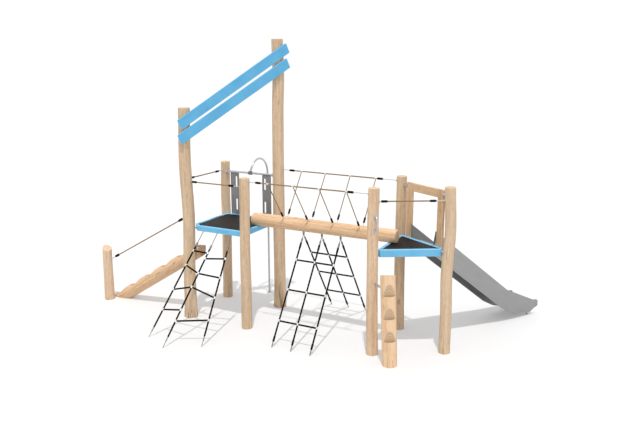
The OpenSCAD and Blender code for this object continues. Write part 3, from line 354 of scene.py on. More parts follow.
timber_grain = timber_group()
post_check, post_knot = rgb(104, 82, 62), rgb(164, 124, 86)
post_timber = timber("post_timber", rgb(191, 161, 129), rgb(218, 190, 159), rgb(234, 209, 180), post_check, post_knot)
# A lighter copy of the post timber for the slide tower's front post and the ramp post: painted light that brightens
# them.
post_timber_painted_light = timber("post_timber_painted_light", rgb(200, 168, 135), rgb(227, 197, 166), rgb(243, 216, 188),
                          post_check, post_knot)
posts_painted_light = ("slide_tower_post_front", "ramp_post")
# Foot on the plan, height, radius at foot and at top, flare, slant of the top, and crook along and across the view.
tall_r, tower = (0.0955, 0.089), (2.362, 0.081, 0.075, 0.02, 0)
posts = {
    "roof_post_low": [(0, 0), 3.31, *tall_r, 0.07, 0, (0, 0.05, 0.94, 0.05, 0.95), (0, 0.2, 0.4, 0.2, -0.2)],
    "roof_post_high": [(1.05, 1.05), 4.315, *tall_r, 0.06, 0,
                       (-0.6, -0.6, -0.6, -0.64, -0.68, -0.64, -0.55, 0.05, -0.5), (0, -0.2, -0.3, 0, 0.3)],
    "square_tower_post_rear": [(0, 1.05), *tower, (-0.6, -0.3, 0, -0.1, 0.3), (0, 0.2, 0.3, 0.1, -0.1)],
    "square_tower_post_front": [(1.05, 0), 2.325, *tower[1:], (0.3, 0.3, 0.22, 0.5, 0.72), (0, -0.2, -0.2, 0, 0.2)],
    "slide_tower_post_front": [(3.12, 0.005), *tower, (0.15, -0.2, -0.44, -0.55, -0.35), (0, 0.1, 0.3, 0.2, 0)],
    "slide_tower_post_rear": [(3.12, 1.045), *tower, (0.3, 0.05, -0.1, -0.15, -0.1), (0, 0.2, 0.1, -0.1, -0.2)],
    "slide_tower_post_side": [(4.02067, 0.525), *tower, (-0.7, -0.6, -1.1, 0.05, -1), (0, -0.1, 0.1, 0.2, 0.1)],
    "ramp_post": [(-1.76, 0), 0.905, 0.08, 0.075, 0.03, 0.5, (0.64, 0.74, 0.85, 0.96, 1.1), (0, 0.1, 0.1, 0, 0)],
}
for seed, (node, post) in enumerate(posts.items()):
    wood = post_timber_painted_light if node in posts_painted_light else post_timber
    make("pole_" + node, [post_surface(post, seed)], wood, "post_timber", node)


# Decks: each a rim of blue board members, mitred and rounded over, with a dark anti-slip board let in just below
# its top. Short steel spacers hold the cut corners of the rim off the posts.
def solids(node):
    """The node's loose triangles, joined where their corners meet and split into separate solids."""
    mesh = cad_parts[node].data
    co = np.empty(len(mesh.vertices) * 3, np.float32)
    mesh.vertices.foreach_get("co", co)
    mesh.calc_loop_triangles()
    tri = np.empty(len(mesh.loop_triangles) * 3, np.int32)
    mesh.loop_triangles.foreach_get("vertices", tri)
    corners, of = np.unique(np.round(co.reshape(-1, 3).astype(float), 5), axis=0, return_inverse=True)
    tri = of.ravel()[tri.reshape(-1, 3)]
    label = np.arange(len(corners))
    while True:
        low = label.copy()
        np.minimum.at(low, tri, label[tri].min(1)[:, None])
        low = low[low]
        if (low == label).all():
            break
        label = low
    return [corners[tri[label[tri[:, 0]] == k]] for k in np.unique(label[tri[:, 0]])]


def facing(solid):
    """Normals of a solid's triangles, as long as twice their areas, and those lengths, never zero."""
    normal = np.cross(solid[:, 1] - solid[:, 0], solid[:, 2] - solid[:, 0])
    return normal, np.maximum(np.linalg.norm(normal, axis=1, keepdims=True), 1e-15)


def face_ways(solid):
    """Main directions of the face normals, weighed by area: how much each is faced, least first, and the ways."""
    normal, size = facing(solid)
    return np.linalg.eigh((normal / size).T @ normal)


def square_to(axis):
    """Two directions square to an axis and to each other."""
    side = np.cross(axis, [0, 0, 1.0] if abs(axis[2]) < 0.9 else [1.0, 0, 0])
    side /= np.linalg.norm(side)
    return side, np.cross(axis, side)


def lengths(v):
    """Lengths of vectors by their first three places, never zero."""
    return np.maximum(np.linalg.norm(v[:, :3], axis=1, keepdims=True), 1e-9)


def spread_out(count):
    """For each of the copies of an item: the item's number, and the copy's number within the item."""
    item = np.repeat(np.arange(len(count)), count)
    return item, np.arange(len(item)) - np.repeat(np.cumsum(count) - count, count)


def eased(line, ease, closed=False):
    """A line of points with its sharp corners rounded by short parabolas and a point set beside each end of a
    long flat, so that shading stays flat there."""
    ring = line if closed else line[1:-1]
    into = ring - (np.roll(line, 1, 0) if closed else line[:-2])
    away = (np.roll(line, -1, 0) if closed else line[2:]) - ring
    sharp = (into * away)[:, :3].sum(1, keepdims=True) < 0.77 * lengths(into) * lengths(away)
    k, copy = spread_out(np.where(sharp[:, 0], 5, 1))
    share = copy[:, None] / 4
    back = into * np.where(sharp, np.minimum(ease / lengths(into), 0.4), 0)
    on = away * np.where(sharp, np.minimum(ease / lengths(away), 0.4), 0)
    line = join([line[:0 if closed else 1], ring[k] - (1 - share) ** 2 * back[k] + share ** 2 * on[k],
                 line[len(line) if closed else -1:]])
    step = np.roll(line, -1, 0) - line
    gap = lengths(step)
    flat = (gap[:, 0] > 4 * ease) & (closed | (np.arange(len(line)) < len(line) - 1))
    k, copy = spread_out(np.where(flat, 3, 1))
    share = np.where(copy[:, None] == 1, ease / gap[k], 1 - ease / gap[k]) * (copy[:, None] > 0)
    return line[k] + share * step[k]


def board(solid, axis, ease, edge, ends, wear_and_highlight=0.0, pith=(0.0, 0.0)):
    """Prism over the outline of a straight CAD solid, each corner of the outline running along the axis from its
    lowest to its highest point: outline corners eased, and each end drawn in by a quarter turn of radius edge. The
    grain frame is two ways across, measured from the pith, then along."""
    points = np.unique(solid.reshape(-1, 3), axis=0)
    e, f = square_to(axis)
    across, t = points @ np.stack([e, f], 1), points @ axis
    corner = (np.linalg.norm(across[:, None] - across[None], axis=2) < 4e-4).argmax(1)
    low, high = np.full(len(points), np.inf), np.full(len(points), -np.inf)
    np.minimum.at(low, corner, t)
    np.maximum.at(high, corner, t)
    ring = np.unique(corner)
    flat = across[ring] - across[ring].mean(0)
    ring = ring[np.argsort(np.arctan2(flat[:, 1] + 1e-6, flat[:, 0]))]
    level = across[ring] @ np.stack([e, f])
    pair = join([level + low[ring, None] * axis, level + high[ring, None] * axis], 1)
    pair = eased(pair, ease, closed=True)
    flat = pair[:, :3] @ np.stack([e, f], 1)
    into, away = flat - np.roll(flat, 1, 0), np.roll(flat, -1, 0) - flat
    into, away = into / lengths(into), away / lengths(away)
    out = (into + away) / lengths(into + away)
    out = out[:, 1:] * e - out[:, :1] * f
    curved = (into * away).sum(1) < 0.995
    phi = np.radians([90, 90, 60, 30, 0, 0])[:, None, None]
    inset = edge * (1 - np.cos(phi) + np.eye(6)[0][:, None, None])
    depth = edge * (1 - np.sin(phi) + np.eye(6)[5][:, None, None])
    rows = join([pair[None, :, :3] - inset * out + depth * axis,
                 (pair[None, :, 3:] - inset * out - depth * axis)[::-1]])
    grain = (rows - points.mean(0)) @ np.stack([e, f, axis], 1) + [*pith, 9 * sum(pith)]
    ends = join([ends, ends[::-1]]).astype(float)[:, None]
    # Eased long edges are marked for the lighter edge colour: wear and painted highlight.
    rim = np.abs(np.arange(12) - 5.5)[:, None] < 5
    return skin(rows, grain, np.maximum(ends, wear_and_highlight * rim * curved[None]))


def turned_form(solid):
    """Start point, axis and profile (distance along, radius) of a turned solid: its normals face two ways across
    equally, which leaves the axis, and the profile follows its rings of corners from the square end."""
    faced, ways = face_ways(solid)
    axis = ways[:, 2] if faced[1] - faced[0] < faced[2] - faced[1] else ways[:, 0]
    normal, size = facing(solid)
    axis = face_ways(solid[np.abs(normal @ axis) < 0.5 * size[:, 0]])[1][:, 0]
    points = np.unique(solid.reshape(-1, 3), axis=0)
    t = points @ axis
    if (t > t.max() - 1e-4).sum() > (t < t.min() + 1e-4).sum():
        axis, t = -axis, -t
    start = points[t < t.min() + 1e-4].mean(0)
    off = points - start
    t = off @ axis
    r = np.linalg.norm(off - t[:, None] * axis, axis=1)
    profile, stations = [], np.sort(t)
    for station in stations[np.append(True, np.diff(stations) > 1e-4)]:
        here = np.abs(t - station) < 2e-4
        radii = np.unique(np.round(r[here], 4))
        radii = radii[np.append(True, np.diff(radii) > 2e-4)]
        radii = radii[radii > 1e-4]
        if profile and len(radii) > 1 and abs(radii[-1] - profile[-1][1]) < abs(radii[0] - profile[-1][1]):
            radii = radii[::-1]
        if here.sum() > 5:
            profile += [(station, x) for x in radii]
    if profile[-1][0] < t.max() - 1e-3:
        profile.append((t.max(), profile[-1][1]))
    return start, axis, np.array(profile)


def lay_of(*places):
    """The lay attribute: three places on the piece's surface, each stretched over the whole grid."""
    return np.stack(np.broadcast_arrays(*places), -1)


def spun(start, axis, line, run, cols):
    """A profile (distance along, radius) carried round an axis, no lower than the ground. The lay attribute is the
    share of a turn and the run along the profile."""
    a = np.linspace(0, 2 * math.pi, cols, endpoint=False)
    e, f = square_to(axis)
    ring = np.cos(a)[:, None] * e + np.sin(a)[:, None] * f
    points = start + line[:, :1, None] * axis + line[:, 1:, None] * ring
    points[..., 2] = np.maximum(points[..., 2], 0)
    return skin(points, lay=lay_of(a / (2 * math.pi), run[:, None], start[0]))


def capped(profile, ease):
    """A profile led in over both ends to less than half of their radius, its corners eased."""
    return eased(join([profile[:1] * [1, 0.4], profile, profile[-1:] * [1, 0.4]]), ease)


def turned(solid, ease=0.0015, full=1.0):
    """The profile of a turned CAD solid, its radius swollen by full and its corners eased, carried round its axis."""
    start, axis, profile = turned_form(solid)
    line = capped(profile * [1, full], ease)
    return spun(start, axis, line, line[:, 0], 28)


def turn_up(name, node, material, slot, ease=0.0015, full=1.0):
    """One piece of the turned solids of a node."""
    make(name, [turned(s, ease, full) for s in solids(node)], material, slot, node)


def speckle_group():
    """Fine even speckle and slow cloudiness of a moulded or coated surface, with a matching tiny relief."""
    tree, i, o = group("fine_speckle", {"Vector": "Vector", "Scale": "Float"}, {"Tone": "Float", "Height": "Float"})
    fine, slow = noise(i["Vector"], i["Scale"], 3.0, 0.7), noise(i["Vector"], 4.0, 3.0)
    feed(o, {"Tone": times(fine, 0.6, times(slow, 0.4)), "Height": fine})
    return tree


def brushed_group():
    """Drawn or brushed metal: fine lines that run along the second place of the lay, and slow clouding."""
    tree, i, o = group("brushed_lines", {"Lay": "Vector", "Across": "Float"}, {"Tone": "Float", "Height": "Float"})
    scale = add(tree, "CombineXYZ", {0: i["Across"], 1: 3.0, 2: 40.0}).outputs[0]
    way = add(tree, "VectorMath", {0: i["Lay"], 1: scale}, operation="MULTIPLY").outputs[0]
    lines, slow = noise(way, 1.0, 4.0, 0.7), noise(i["Lay"], 5.0, 2.0)
    feed(o, {"Tone": times(lines, 0.7, times(slow, 0.3)), "Height": lines})
    return tree


def coated(name, dark, light, rough, scale, gloss=0.35, edge=None):
    """Moulded or coated board: colour by its speckle, lighter on edges (wear and painted highlight), faintly pebbled.
    """
    material, tree, shader = new_material(name, gloss)
    place = add(tree, "TexCoord").outputs["Object"]
    fleck = add(tree, "Group", {"Vector": place, "Scale": scale}, node_tree=fine_speckle).outputs
    colour = steps(fleck["Tone"], (0.36, dark), (0.64, light))
    if edge:
        # Lighter eased edges: partly wear, partly a painted highlight where the rounding catches light.
        colour = blend_of(times(marked(tree, "end", "Fac"), 0.55), colour, edge)
    dress(shader, colour, times(fleck["Tone"], 0.2, rough), fleck["Height"], 0.25, 0.0006)
    return material


def metal(name, dark, light, rough, across=60.0, inner_shade=None):
    """Bare metal: brushed lines in its colour, gloss and relief, with a darker pair of colours as painted shade on
    inner faces.
    """
    material, tree, shader = new_material(name, metallic=1.0)
    brushed = add(tree, "Group", {"Lay": marked(tree, "lay"), "Across": across}, node_tree=brushed_lines).outputs
    colour = steps(brushed["Tone"], (0.3, dark), (0.7, light))
    # Painted shade: the inner pair darkens the faces that the end attribute marks, the inner faces of the slide's
    # sides.
    if inner_shade:
        inner = steps(brushed["Tone"], (0.3, inner_shade[0]), (0.7, inner_shade[1]))
        colour = blend_of(marked(tree, "end", "Fac"), colour, inner)
    dress(shader, colour, times(brushed["Tone"], 0.25, rough), brushed["Height"], 0.15, 0.0004)
    return material


def deck_material():
    """Dark film-faced deck board with the small raised diamonds of an anti-slip face: two slanting sets of waves,
    one times the other, their tops painted lighter as a highlight."""
    material, tree, shader = new_material("deck_mat", 0.2)
    place = add(tree, "TexCoord").outputs["Object"]
    fleck = add(tree, "Group", {"Vector": place, "Scale": 220.0}, node_tree=fine_speckle).outputs
    part = add(tree, "SeparateXYZ", {0: place}).outputs
    wave = lambda slant: maths("SINE", times(times(part[1], slant, part[0]), 420.0))
    stud = times(wave(1.7), wave(-1.7))
    colour = steps(fleck["Tone"], (0.35, rgb(15, 12, 10)), (0.65, rgb(29, 24, 21)))
    # Painted highlight: the tops of the raised diamonds are lightened.
    colour = blend_of(times(maths("MAXIMUM", stud, 0.0), 0.3), colour, rgb(58, 52, 47))
    dress(shader, colour, times(fleck["Tone"], 0.2, 0.5), stud, 0.4, 0.001)
    return material


def level_way(solid):
    """Level direction along a level member: of the two ways that its upright faces give, the one along which the
    corners of its two ends lie behind each other."""
    normal, size = facing(solid)
    flat, points, ways = normal[:, :2], solid.reshape(-1, 3), []
    for side in np.linalg.eigh((flat / size).T @ flat)[1].T:
        faces = np.abs(flat @ side) < 0.3 * size[:, 0]
        way = np.linalg.eigh((flat[faces] / size[faces]).T @ flat[faces])[1][:, 0]
        corners = np.round(np.stack([points[:, :2] @ [-way[1], way[0]], points[:, 2]], 1) / 0.0005)
        ways.append((len(np.unique(corners, axis=0)), way[0], way[1]))
    return np.array([*min(ways)[1:], 0])


fine_speckle, brushed_lines = speckle_group(), brushed_group()
# The rims take a lighter copy of the roof boards' blue: painted light that brightens their upright faces.
rim_blue_painted_light = coated("rim_blue_painted_light", rgb(102, 183, 230), rgb(127, 203, 244), 0.42, 300.0, edge=rgb(160, 214, 244))
deck_mat = deck_material()
steel = metal("steel", rgb(176, 178, 181), rgb(206, 208, 210), 0.26)
upright, plain_ends = np.array([0, 0, 1.0]), np.zeros(6)
rim_ease, rim_edge = 0.004, 0.0012
for shape in ("square", "triangle"):
    rim, deck = shape + "_deck_rim", shape + "_deck_board"
    members = [board(s, level_way(s), rim_ease, rim_edge, plain_ends, wear_and_highlight=1.0) for s in solids(rim)]
    make("rim_of_" + shape + "_deck", members, rim_blue_painted_light, "blue_board", rim)
    make("board_of_" + shape + "_deck", [board(s, upright, rim_ease, rim_edge, plain_ends) for s in solids(deck)],
         deck_mat, "deck_mat", deck)
    turn_up("corner_spacers_of_" + shape + "_deck", shape + "_deck_spacers", steel, "steel")


# Balance log: one pale debarked log, its ends rounded over, cut flat underneath where it lies on the two rims.
# It is held by its own weight and by bolts from below that can't be seen.
log_cols, back_cols = 96, 32


def hewn(start, along, up, r, stations, cut, first, last, edge, seed, ledges=(), deep=0.0, follow=False):
    """Rings of a round log along a straight axis, rippled by a millimetre. Where the log is hewn the ring is cut off
    flat at the height cut(s) above the axis. Each end lies in its planes (point, normal), eased over by edge. Ledges
    are the places along it that are cut straight across, down to the height deep. The first third of each ring's
    columns lies on its back: a quarter turn, or all that is above the cut where the columns follow it."""
    side = np.cross(up, along)
    k = np.arange(log_cols)[None]
    back = k < back_cols
    share = np.where(back, k / back_cols, (k - back_cols) / (log_cols - back_cols))

    def ring(s, inset=0.0):
        """Place across, height and uncut height of each column at s, drawn in by the inset."""
        brow = np.arcsin(np.clip(cut(s) / r, -0.98, 0.985)) if follow else math.pi / 4
        a = np.where(back, brow + (math.pi - 2 * brow) * share, math.pi - brow + (math.pi + 2 * brow) * share)
        around = r - inset + 0.0012 * np.sin(2 * a + 2.3 * s + seed) + 0.0008 * np.sin(3 * a - 4.1 * s + 2 * seed)
        return around * np.cos(a), np.minimum(around * np.sin(a), cut(s)), around * np.sin(a)

    def reach(planes, pick):
        """How far along each column meets the planes of an end, found by repeated steps."""
        s = np.full(k.shape, stations.mean())
        for _ in range(24):
            x, v = ring(s)[:2]
            p = start + x[..., None] * side + v[..., None] * up
            s = pick([((point - p) @ normal) / (along @ normal) for point, normal in planes])
        return s

    low = reach(first, lambda ends: np.max(ends, axis=0))
    high = reach(last, lambda ends: np.min(ends, axis=0))
    ease = edge * (1 - np.cos(np.linspace(0, math.pi / 2, 6)))[:, None]
    part = np.linspace(0, 1, 50)[1:-1, None]
    s = join([low, low + ease, low + edge + (stations[0] - low - edge) * part, stations[:, None] + 0 * k,
              stations[-1] + (high - edge - stations[-1]) * part, high - ease[::-1], high])
    near = np.minimum(s - low, high - s)
    x, v, free = ring(s, edge - np.sqrt(np.maximum(0, edge ** 2 - np.maximum(0, edge - near) ** 2)))
    points = start + s[..., None] * along + x[..., None] * side + v[..., None] * up
    points[[0, -1]] += 0.1 * (points[[0, -1]].mean(1, keepdims=True) - points[[0, -1]])
    ends = 0.6 * np.clip((free - v) / 0.004, 0, 1)
    ends[[0, 1, 2, -3, -2, -1]] = 0.8
    # Ledges are marked 1 so that the timber paints them dark as their shade.
    for ledge in ledges:
        ends[(np.abs(s - ledge + 0.00075) < 0.001) & (free > deep + 0.001)] = 1
    return skin(points, np.stack([x, v, s + 7.7 * seed], -1), ends)


# The last colour greys the cut faces, partly as painted shade.
log_timber = timber("log_timber", rgb(206, 167, 128), rgb(230, 194, 157), rgb(242, 210, 175),
                    rgb(140, 104, 70), rgb(172, 126, 84), rgb(176, 148, 118))
east = np.array([1.0, 0, 0])
log_r, log_from, log_long = 0.099, 0.882, 3.264 - 0.882
seat_in, seat_wall, seat_deep = 0.1255, 0.001, 0.0123
log_start = on_site(log_from, 0.525, 1.5873)
log_seats = np.array([seat_in, seat_in + seat_wall, log_long - seat_in - seat_wall, log_long - seat_in])
balance = hewn(log_start, east, -upright, log_r, np.sort(np.append(np.linspace(0.04, 2.34, 160), log_seats)),
               lambda s: np.interp(s, log_seats, [log_r - seat_deep, 1, 1, log_r - seat_deep]),
               [(log_start, east)], [(log_start + log_long * east, east)], edge=0.026, seed=11)
make("hewn_balance_log", [balance], log_timber, "log_timber", "balance_log")


# Ropes: rails, guards and ties of beige hemp-look rope, each laid up from six strands round a steel core and
# stretched tight, so each runs straight. Black sleeves are pressed on their ends, and steel rods hold them.
def laid_rope(solid, full, strands=6, lay=7.0):
    """Outline of touching round strands, turned steadily as it runs along the axis: one full turn in lay
    diameters, the strands standing proud of the CAD core by the share full. The lay attribute is the place across
    the strand and the distance along."""
    start, axis, profile = turned_form(solid)
    length, r = profile[:, 0].max(), profile[:, 1].max() * full
    core = r / (1 + math.sin(math.pi / strands))
    strand = r - core
    a = np.linspace(0, 2 * math.pi, strands * 6, endpoint=False)
    from_top = (a * strands / (2 * math.pi) + 0.5) % 1 - 0.5
    w = from_top * 2 * math.pi / strands
    outline = core * np.cos(w) + np.sqrt(np.maximum(0, strand ** 2 - (core * np.sin(w)) ** 2))
    s = np.linspace(0, length, max(3, int(length / (lay * 2 * r) * 12) + 1))[:, None]
    turn = a[None] + 2 * math.pi * s / (lay * 2 * r)
    e, f = square_to(axis)
    spokes = np.cos(turn)[..., None] * e + np.sin(turn)[..., None] * f
    points = start + s[..., None] * axis + outline[None, :, None] * spokes
    return skin(points, lay=lay_of(from_top, s, start[0]))


def yarn_group():
    """Laid rope: yarns that run aslant over each strand, fuzz and weathering as a tone, painted shade in the grooves
    between strands, and the relief of the yarns."""
    tree, i, o = group("laid_yarn", {"Lay": "Vector"}, {"Tone": "Float", "GrooveShade": "Float", "Height": "Float"})
    part = add(tree, "SeparateXYZ", {0: i["Lay"]}).outputs
    slant = times(part[1], 1300.0, times(part[0], 9.0))
    yarn = times(maths("SINE", slant), 0.5, 0.5)
    place = add(tree, "TexCoord").outputs["Object"]
    fuzzy = maths("ADD", yarn, noise(place, 900.0, 2.0))
    tone = times(noise(place, 5.0, 2.0), 0.3, times(fuzzy, 0.35))
    groove_shade = steps(maths("ABSOLUTE", part[0]), (0.3, 1.0), (0.5, 0.35))
    feed(o, {"Tone": tone, "GrooveShade": groove_shade, "Height": fuzzy})
    return tree


def rope_material(name, dark, light, gloss):
    """Rope coloured by its yarns, with painted shade in the grooves between strands, rough."""
    material, tree, shader = new_material(name, gloss)
    yarn = add(tree, "Group", {"Lay": marked(tree, "lay")}, node_tree=laid_yarn).outputs
    colour = steps(yarn["Tone"], (0.25, dark), (0.8, light))
    # Painted shade: the colour is multiplied down towards the grooves between strands.
    colour = blend_of(1.0, colour, yarn["GrooveShade"], "MULTIPLY")
    dress(shader, colour, times(yarn["Tone"], 0.15, 0.75), yarn["Height"], 0.5, 0.0008)
    return material


laid_yarn = yarn_group()
beige_rope = rope_material("beige_rope", rgb(132, 109, 80), rgb(196, 171, 135), 0.15)
sleeve = coated("sleeve", rgb(8, 8, 9), rgb(18, 18, 19), 0.55, 500.0, gloss=0.15)
clamp_metal = metal("net_clamp", rgb(205, 207, 209), rgb(232, 233, 234), 0.32)
for node in ("rail_rope_front", "rail_rope_rear", "guard_rope_left", "guard_rope_front", "guard_rope_slide_tower",
             "ramp_rope", "tie_ropes"):
    make("laid_" + node, [laid_rope(s, full=1.15) for s in solids(node)], beige_rope, "beige_rope", node, crease=80)
deck_ropes_from = 1.7
for node, high, low in (("rope_sleeves", 1.3, 1.6), ("tie_sleeves", 1.5, 1.5)):
    make("pressed_" + node, [turned(s, 0.008, high if s[0, 0, 2] > deck_ropes_from else low) for s in solids(node)],
         sleeve, "sleeve", node)
for node in ("rope_end_rods", "tie_end_eyes"):
    turn_up("steel_" + node, node, steel, "steel", 0.0012)
turn_up("pressed_tie_clamps", "tie_clamps", clamp_metal, "net_clamp", 0.003)


# Roof boards: two slanting boards of the same blue board as the rims, seated on the front of the tall posts,
# their corners rounded and all edges eased.
blue_board = coated("blue_board", rgb(87, 172, 221), rgb(111, 192, 236), 0.42, 300.0, edge=rgb(160, 212, 242))
wear_and_highlight_ends = np.array([0, 0.5, 1, 1, 0.5, 0])
for node in ("roof_board_upper", "roof_board_lower"):
    make("eased_" + node, [board(s, face_ways(s)[1][:, 2], 0.02, 0.005, wear_and_highlight_ends, wear_and_highlight=0.5) for s in solids(node)],
         blue_board, "blue_board", node)


# Ramp log: a pale log sawn level at the ground and plumb at its ends, with level treads cut into its back and the
# wood between them left swollen. A steel spacer holds it off the low roof post.
ramp_r, slope = 0.108, math.radians(31.9)
tread_pitch, tread_run, tread_deep, swell = 0.408, 0.114, 0.072, 0.03
hewn_from, hewn_to, run_out = 0.2, 2.0, 0.6
ramp_along = np.array([math.cos(slope), 0, math.sin(slope)])
ramp_up = np.array([-math.sin(slope), 0, math.cos(slope)])
crests = 0.292645 + tread_pitch * np.arange(-1, 5)
grow = np.linspace(0, 1, 25)
back_s = (crests[:-1, None] + tread_run + (tread_pitch - tread_run) * grow).ravel()
back_v = np.tile(ramp_r - tread_deep * (1 - grow) + 4 * swell * grow * (1 - grow), len(crests) - 1)
cut_s = join([crests[:1], back_s, crests[-1:] + run_out])
cut_v = join([[ramp_r], back_v, [ramp_r - run_out * math.tan(slope)]])
ramp_rows = np.append(cut_s[(cut_s > hewn_from) & (cut_s < hewn_to)], np.linspace(hewn_from, hewn_to, 180))
ramp = hewn(on_site(-1.63538, 0.222), ramp_along, ramp_up, ramp_r, np.unique(np.round(ramp_rows, 4)),
            lambda s: np.interp(s, cut_s, cut_v), [(np.zeros(3), upright), (on_site(-1.763, 0), east)],
            [(on_site(0.09, 0), east)], edge=0.003, seed=12, follow=True)
ramp["points"][:, 2] = np.maximum(ramp["points"][:, 2], 0)
ramp["points"][:log_cols, 2] = 0
make("hewn_ramp_log", [ramp], log_timber, "log_timber", "ramp_log")
turn_up("steel_ramp_log_spacer", "ramp_log_spacer", steel, "steel")


# Fire pole: a bent steel tube on a round foot plate, clamped to a cross bar between two bosses on the posts.
# The grey laminate panels beside the way to it have two hand slots each and hang from the bar.
def tube(path, square, r, cols=32):
    """Circle of radius r carried along a path that lies in one plane, square to the given direction."""
    way = np.gradient(path, axis=0)
    way /= np.linalg.norm(way, axis=1, keepdims=True)
    a = np.linspace(0, 2 * math.pi, cols, endpoint=False)[None, :, None]
    points = path[:, None] + r * (np.cos(a) * square + np.sin(a) * np.cross(way, square)[:, None])
    run = join([[0], np.cumsum(np.linalg.norm(np.diff(path, axis=0), axis=1))])[:, None]
    return skin(points, lay=lay_of(a[..., 0] / (2 * math.pi), run, path[0, 0]))


def disc(centre, axis, r, thick, ease=0.002, cols=48):
    """Round plate with eased edges, from a centre along an axis."""
    line = capped(np.array([[0, r], [thick, r]]), ease)
    return spun(centre, axis, line, line.sum(1), cols)


def copied(node, lay=None):
    """The node's own solids as closed surfaces, their corners joined, for a shape that is cut on several sides."""
    parts = []
    for solid in solids(node):
        points, of = np.unique(solid.reshape(-1, 3), axis=0, return_inverse=True)
        fans = of.reshape(-1, 3)
        fans = fans[(fans[:, 0] != fans[:, 1]) & (fans[:, 1] != fans[:, 2]) & (fans[:, 2] != fans[:, 0])]
        part = {"points": points, "quads": np.empty((0, 4), int), "fans": fans}
        if lay is not None:
            part["lay"] = points @ lay
        parts.append(part)
    return parts


pole_at, pole_r, arch_r, arch_top = on_site(0.525, 1.5416), 0.017, 0.27, 2.14
plate_r, plate_thick = 0.038, 0.008
bend = np.radians(np.linspace(0, 180 - 20.78, 60))[:, None]
rise = np.linspace(plate_thick, arch_top, 40)[:-1, None]
arch = np.cos(bend) * [0, arch_r, 0] + np.sin(bend) * [0, 0, arch_r] + [0, -arch_r, arch_top]
pole_path = pole_at + join([rise * upright, arch])
make("bent_fire_pole", [tube(pole_path, east, pole_r), disc(pole_at, upright, plate_r, plate_thick)],
     steel, "steel", "fire_pole")
turn_up("steel_pole_bar", "pole_bar", steel, "steel")
make("steel_pole_bar_bosses", copied("pole_bar_flanges", np.diag([40.0, 1, 1])), steel, "steel", "pole_bar_flanges")
grey_panel = coated("grey_panel", rgb(121, 121, 122), rgb(148, 148, 149), 0.5, 420.0)
turn_up("fire_pole_collar", "fire_pole_clamp", grey_panel, "grey_panel", 0.003)
for node in ("side_panel_left", "side_panel_right"):
    panel = make("slotted_" + node, copied(node), grey_panel, "grey_panel", node)
    bevel = panel.modifiers.new("eased", "BEVEL")
    bevel.width, bevel.segments, bevel.limit_method, bevel.angle_limit = 0.003, 3, "ANGLE", math.radians(50)


# Climbing nets: strands and rungs of black laid rope, joined by pressed clamps. Steel cables with ferrules hang
# the strands from the rim and from eyes under the log, and stakes hold them to the ground.
black_rope = rope_material("black_rope", rgb(10, 11, 12), rgb(34, 35, 36), 0.06)
for node in ("front_net_strands", "front_net_rungs", "bridge_net_strands", "bridge_net_rungs"):
    make("laid_" + node, [laid_rope(s, full=1.32) for s in solids(node)], black_rope, "black_rope", node, crease=80)
for node in ("front_net_clamps", "bridge_net_clamps"):
    turn_up("pressed_" + node, node, clamp_metal, "net_clamp", 0.005)
dull_steel = metal("dull_steel", rgb(120, 118, 116), rgb(156, 154, 151), 0.4)
for node, full in (("front_net_cables", 1.4), ("bridge_net_shackles", 1.2), ("front_net_anchors", 0.85),
                   ("bridge_net_anchors", 0.85)):
    turn_up("steel_" + node, node, dull_steel, "steel", 0.002, full)


def end_sleeves(solid, long, r):
    """Two round sleeves over the first and the last stretch of a straight rope."""
    start, axis, profile = turned_form(solid)
    run = profile[:, 0].max()
    return [disc(start + at * axis, axis, r, long, 0.006, 20) for at in (0, run - long)]


make("pressed_bridge_net_sleeves", [part for s in solids("bridge_net_strands")
                                    for part in end_sleeves(s, long=0.085, r=0.0155)], sleeve, "sleeve")


# Step post: a short leaning log with three notched footholds and a slanted top, held to the slide tower by one
# steel tube. Above it a bent steel grab handle sits on round flanges on the tower's front post.
step_out, step_side = np.array([0.5, -math.sqrt(0.75), 0]), np.array([math.sqrt(0.75), 0.5, 0])
step_foot = on_site(3.12, 0.005) + 0.367 * step_out + 0.197 * step_side
step_r, step_high, top_slant = 0.101, 1.272, math.radians(18)
lean = math.atan(0.052 / step_high)
notch_high, notch_deep, notch_wall, clear = 0.19, 0.042, 0.0015, 0.004
ledges = 0.367 + 0.319 * np.arange(3)
notch_s = (ledges[:, None] + [-notch_wall, 0, notch_high]).ravel()
notch_v = np.tile([step_r + clear, step_r - notch_deep, step_r + clear], 3)
step_rows = join([notch_s, ledges - 0.003, ledges + 0.002, np.linspace(0.03, 1.2, 120)])
# The step post takes a lighter copy of the log timber: painted light that brightens it.
step_timber_painted_light = timber("step_timber_painted_light", rgb(228, 187, 146), rgb(247, 211, 172), rgb(252, 223, 189),
                     rgb(112, 82, 54), rgb(188, 142, 100), rgb(182, 160, 135))
step = hewn(step_foot, math.cos(lean) * upright - math.sin(lean) * step_side, step_out, step_r,
            np.unique(np.round(step_rows, 4)), lambda s: np.interp(s, notch_s, notch_v), [(np.zeros(3), upright)],
            [(step_foot + step_high * upright, upright - math.tan(top_slant) * step_out)],
            edge=0.004, seed=13, ledges=ledges, deep=step_r - notch_deep)
make("hewn_step_post", [step], step_timber_painted_light, "log_timber", "step_post")
turn_up("steel_step_post_spacer", "step_post_spacer", steel, "steel")

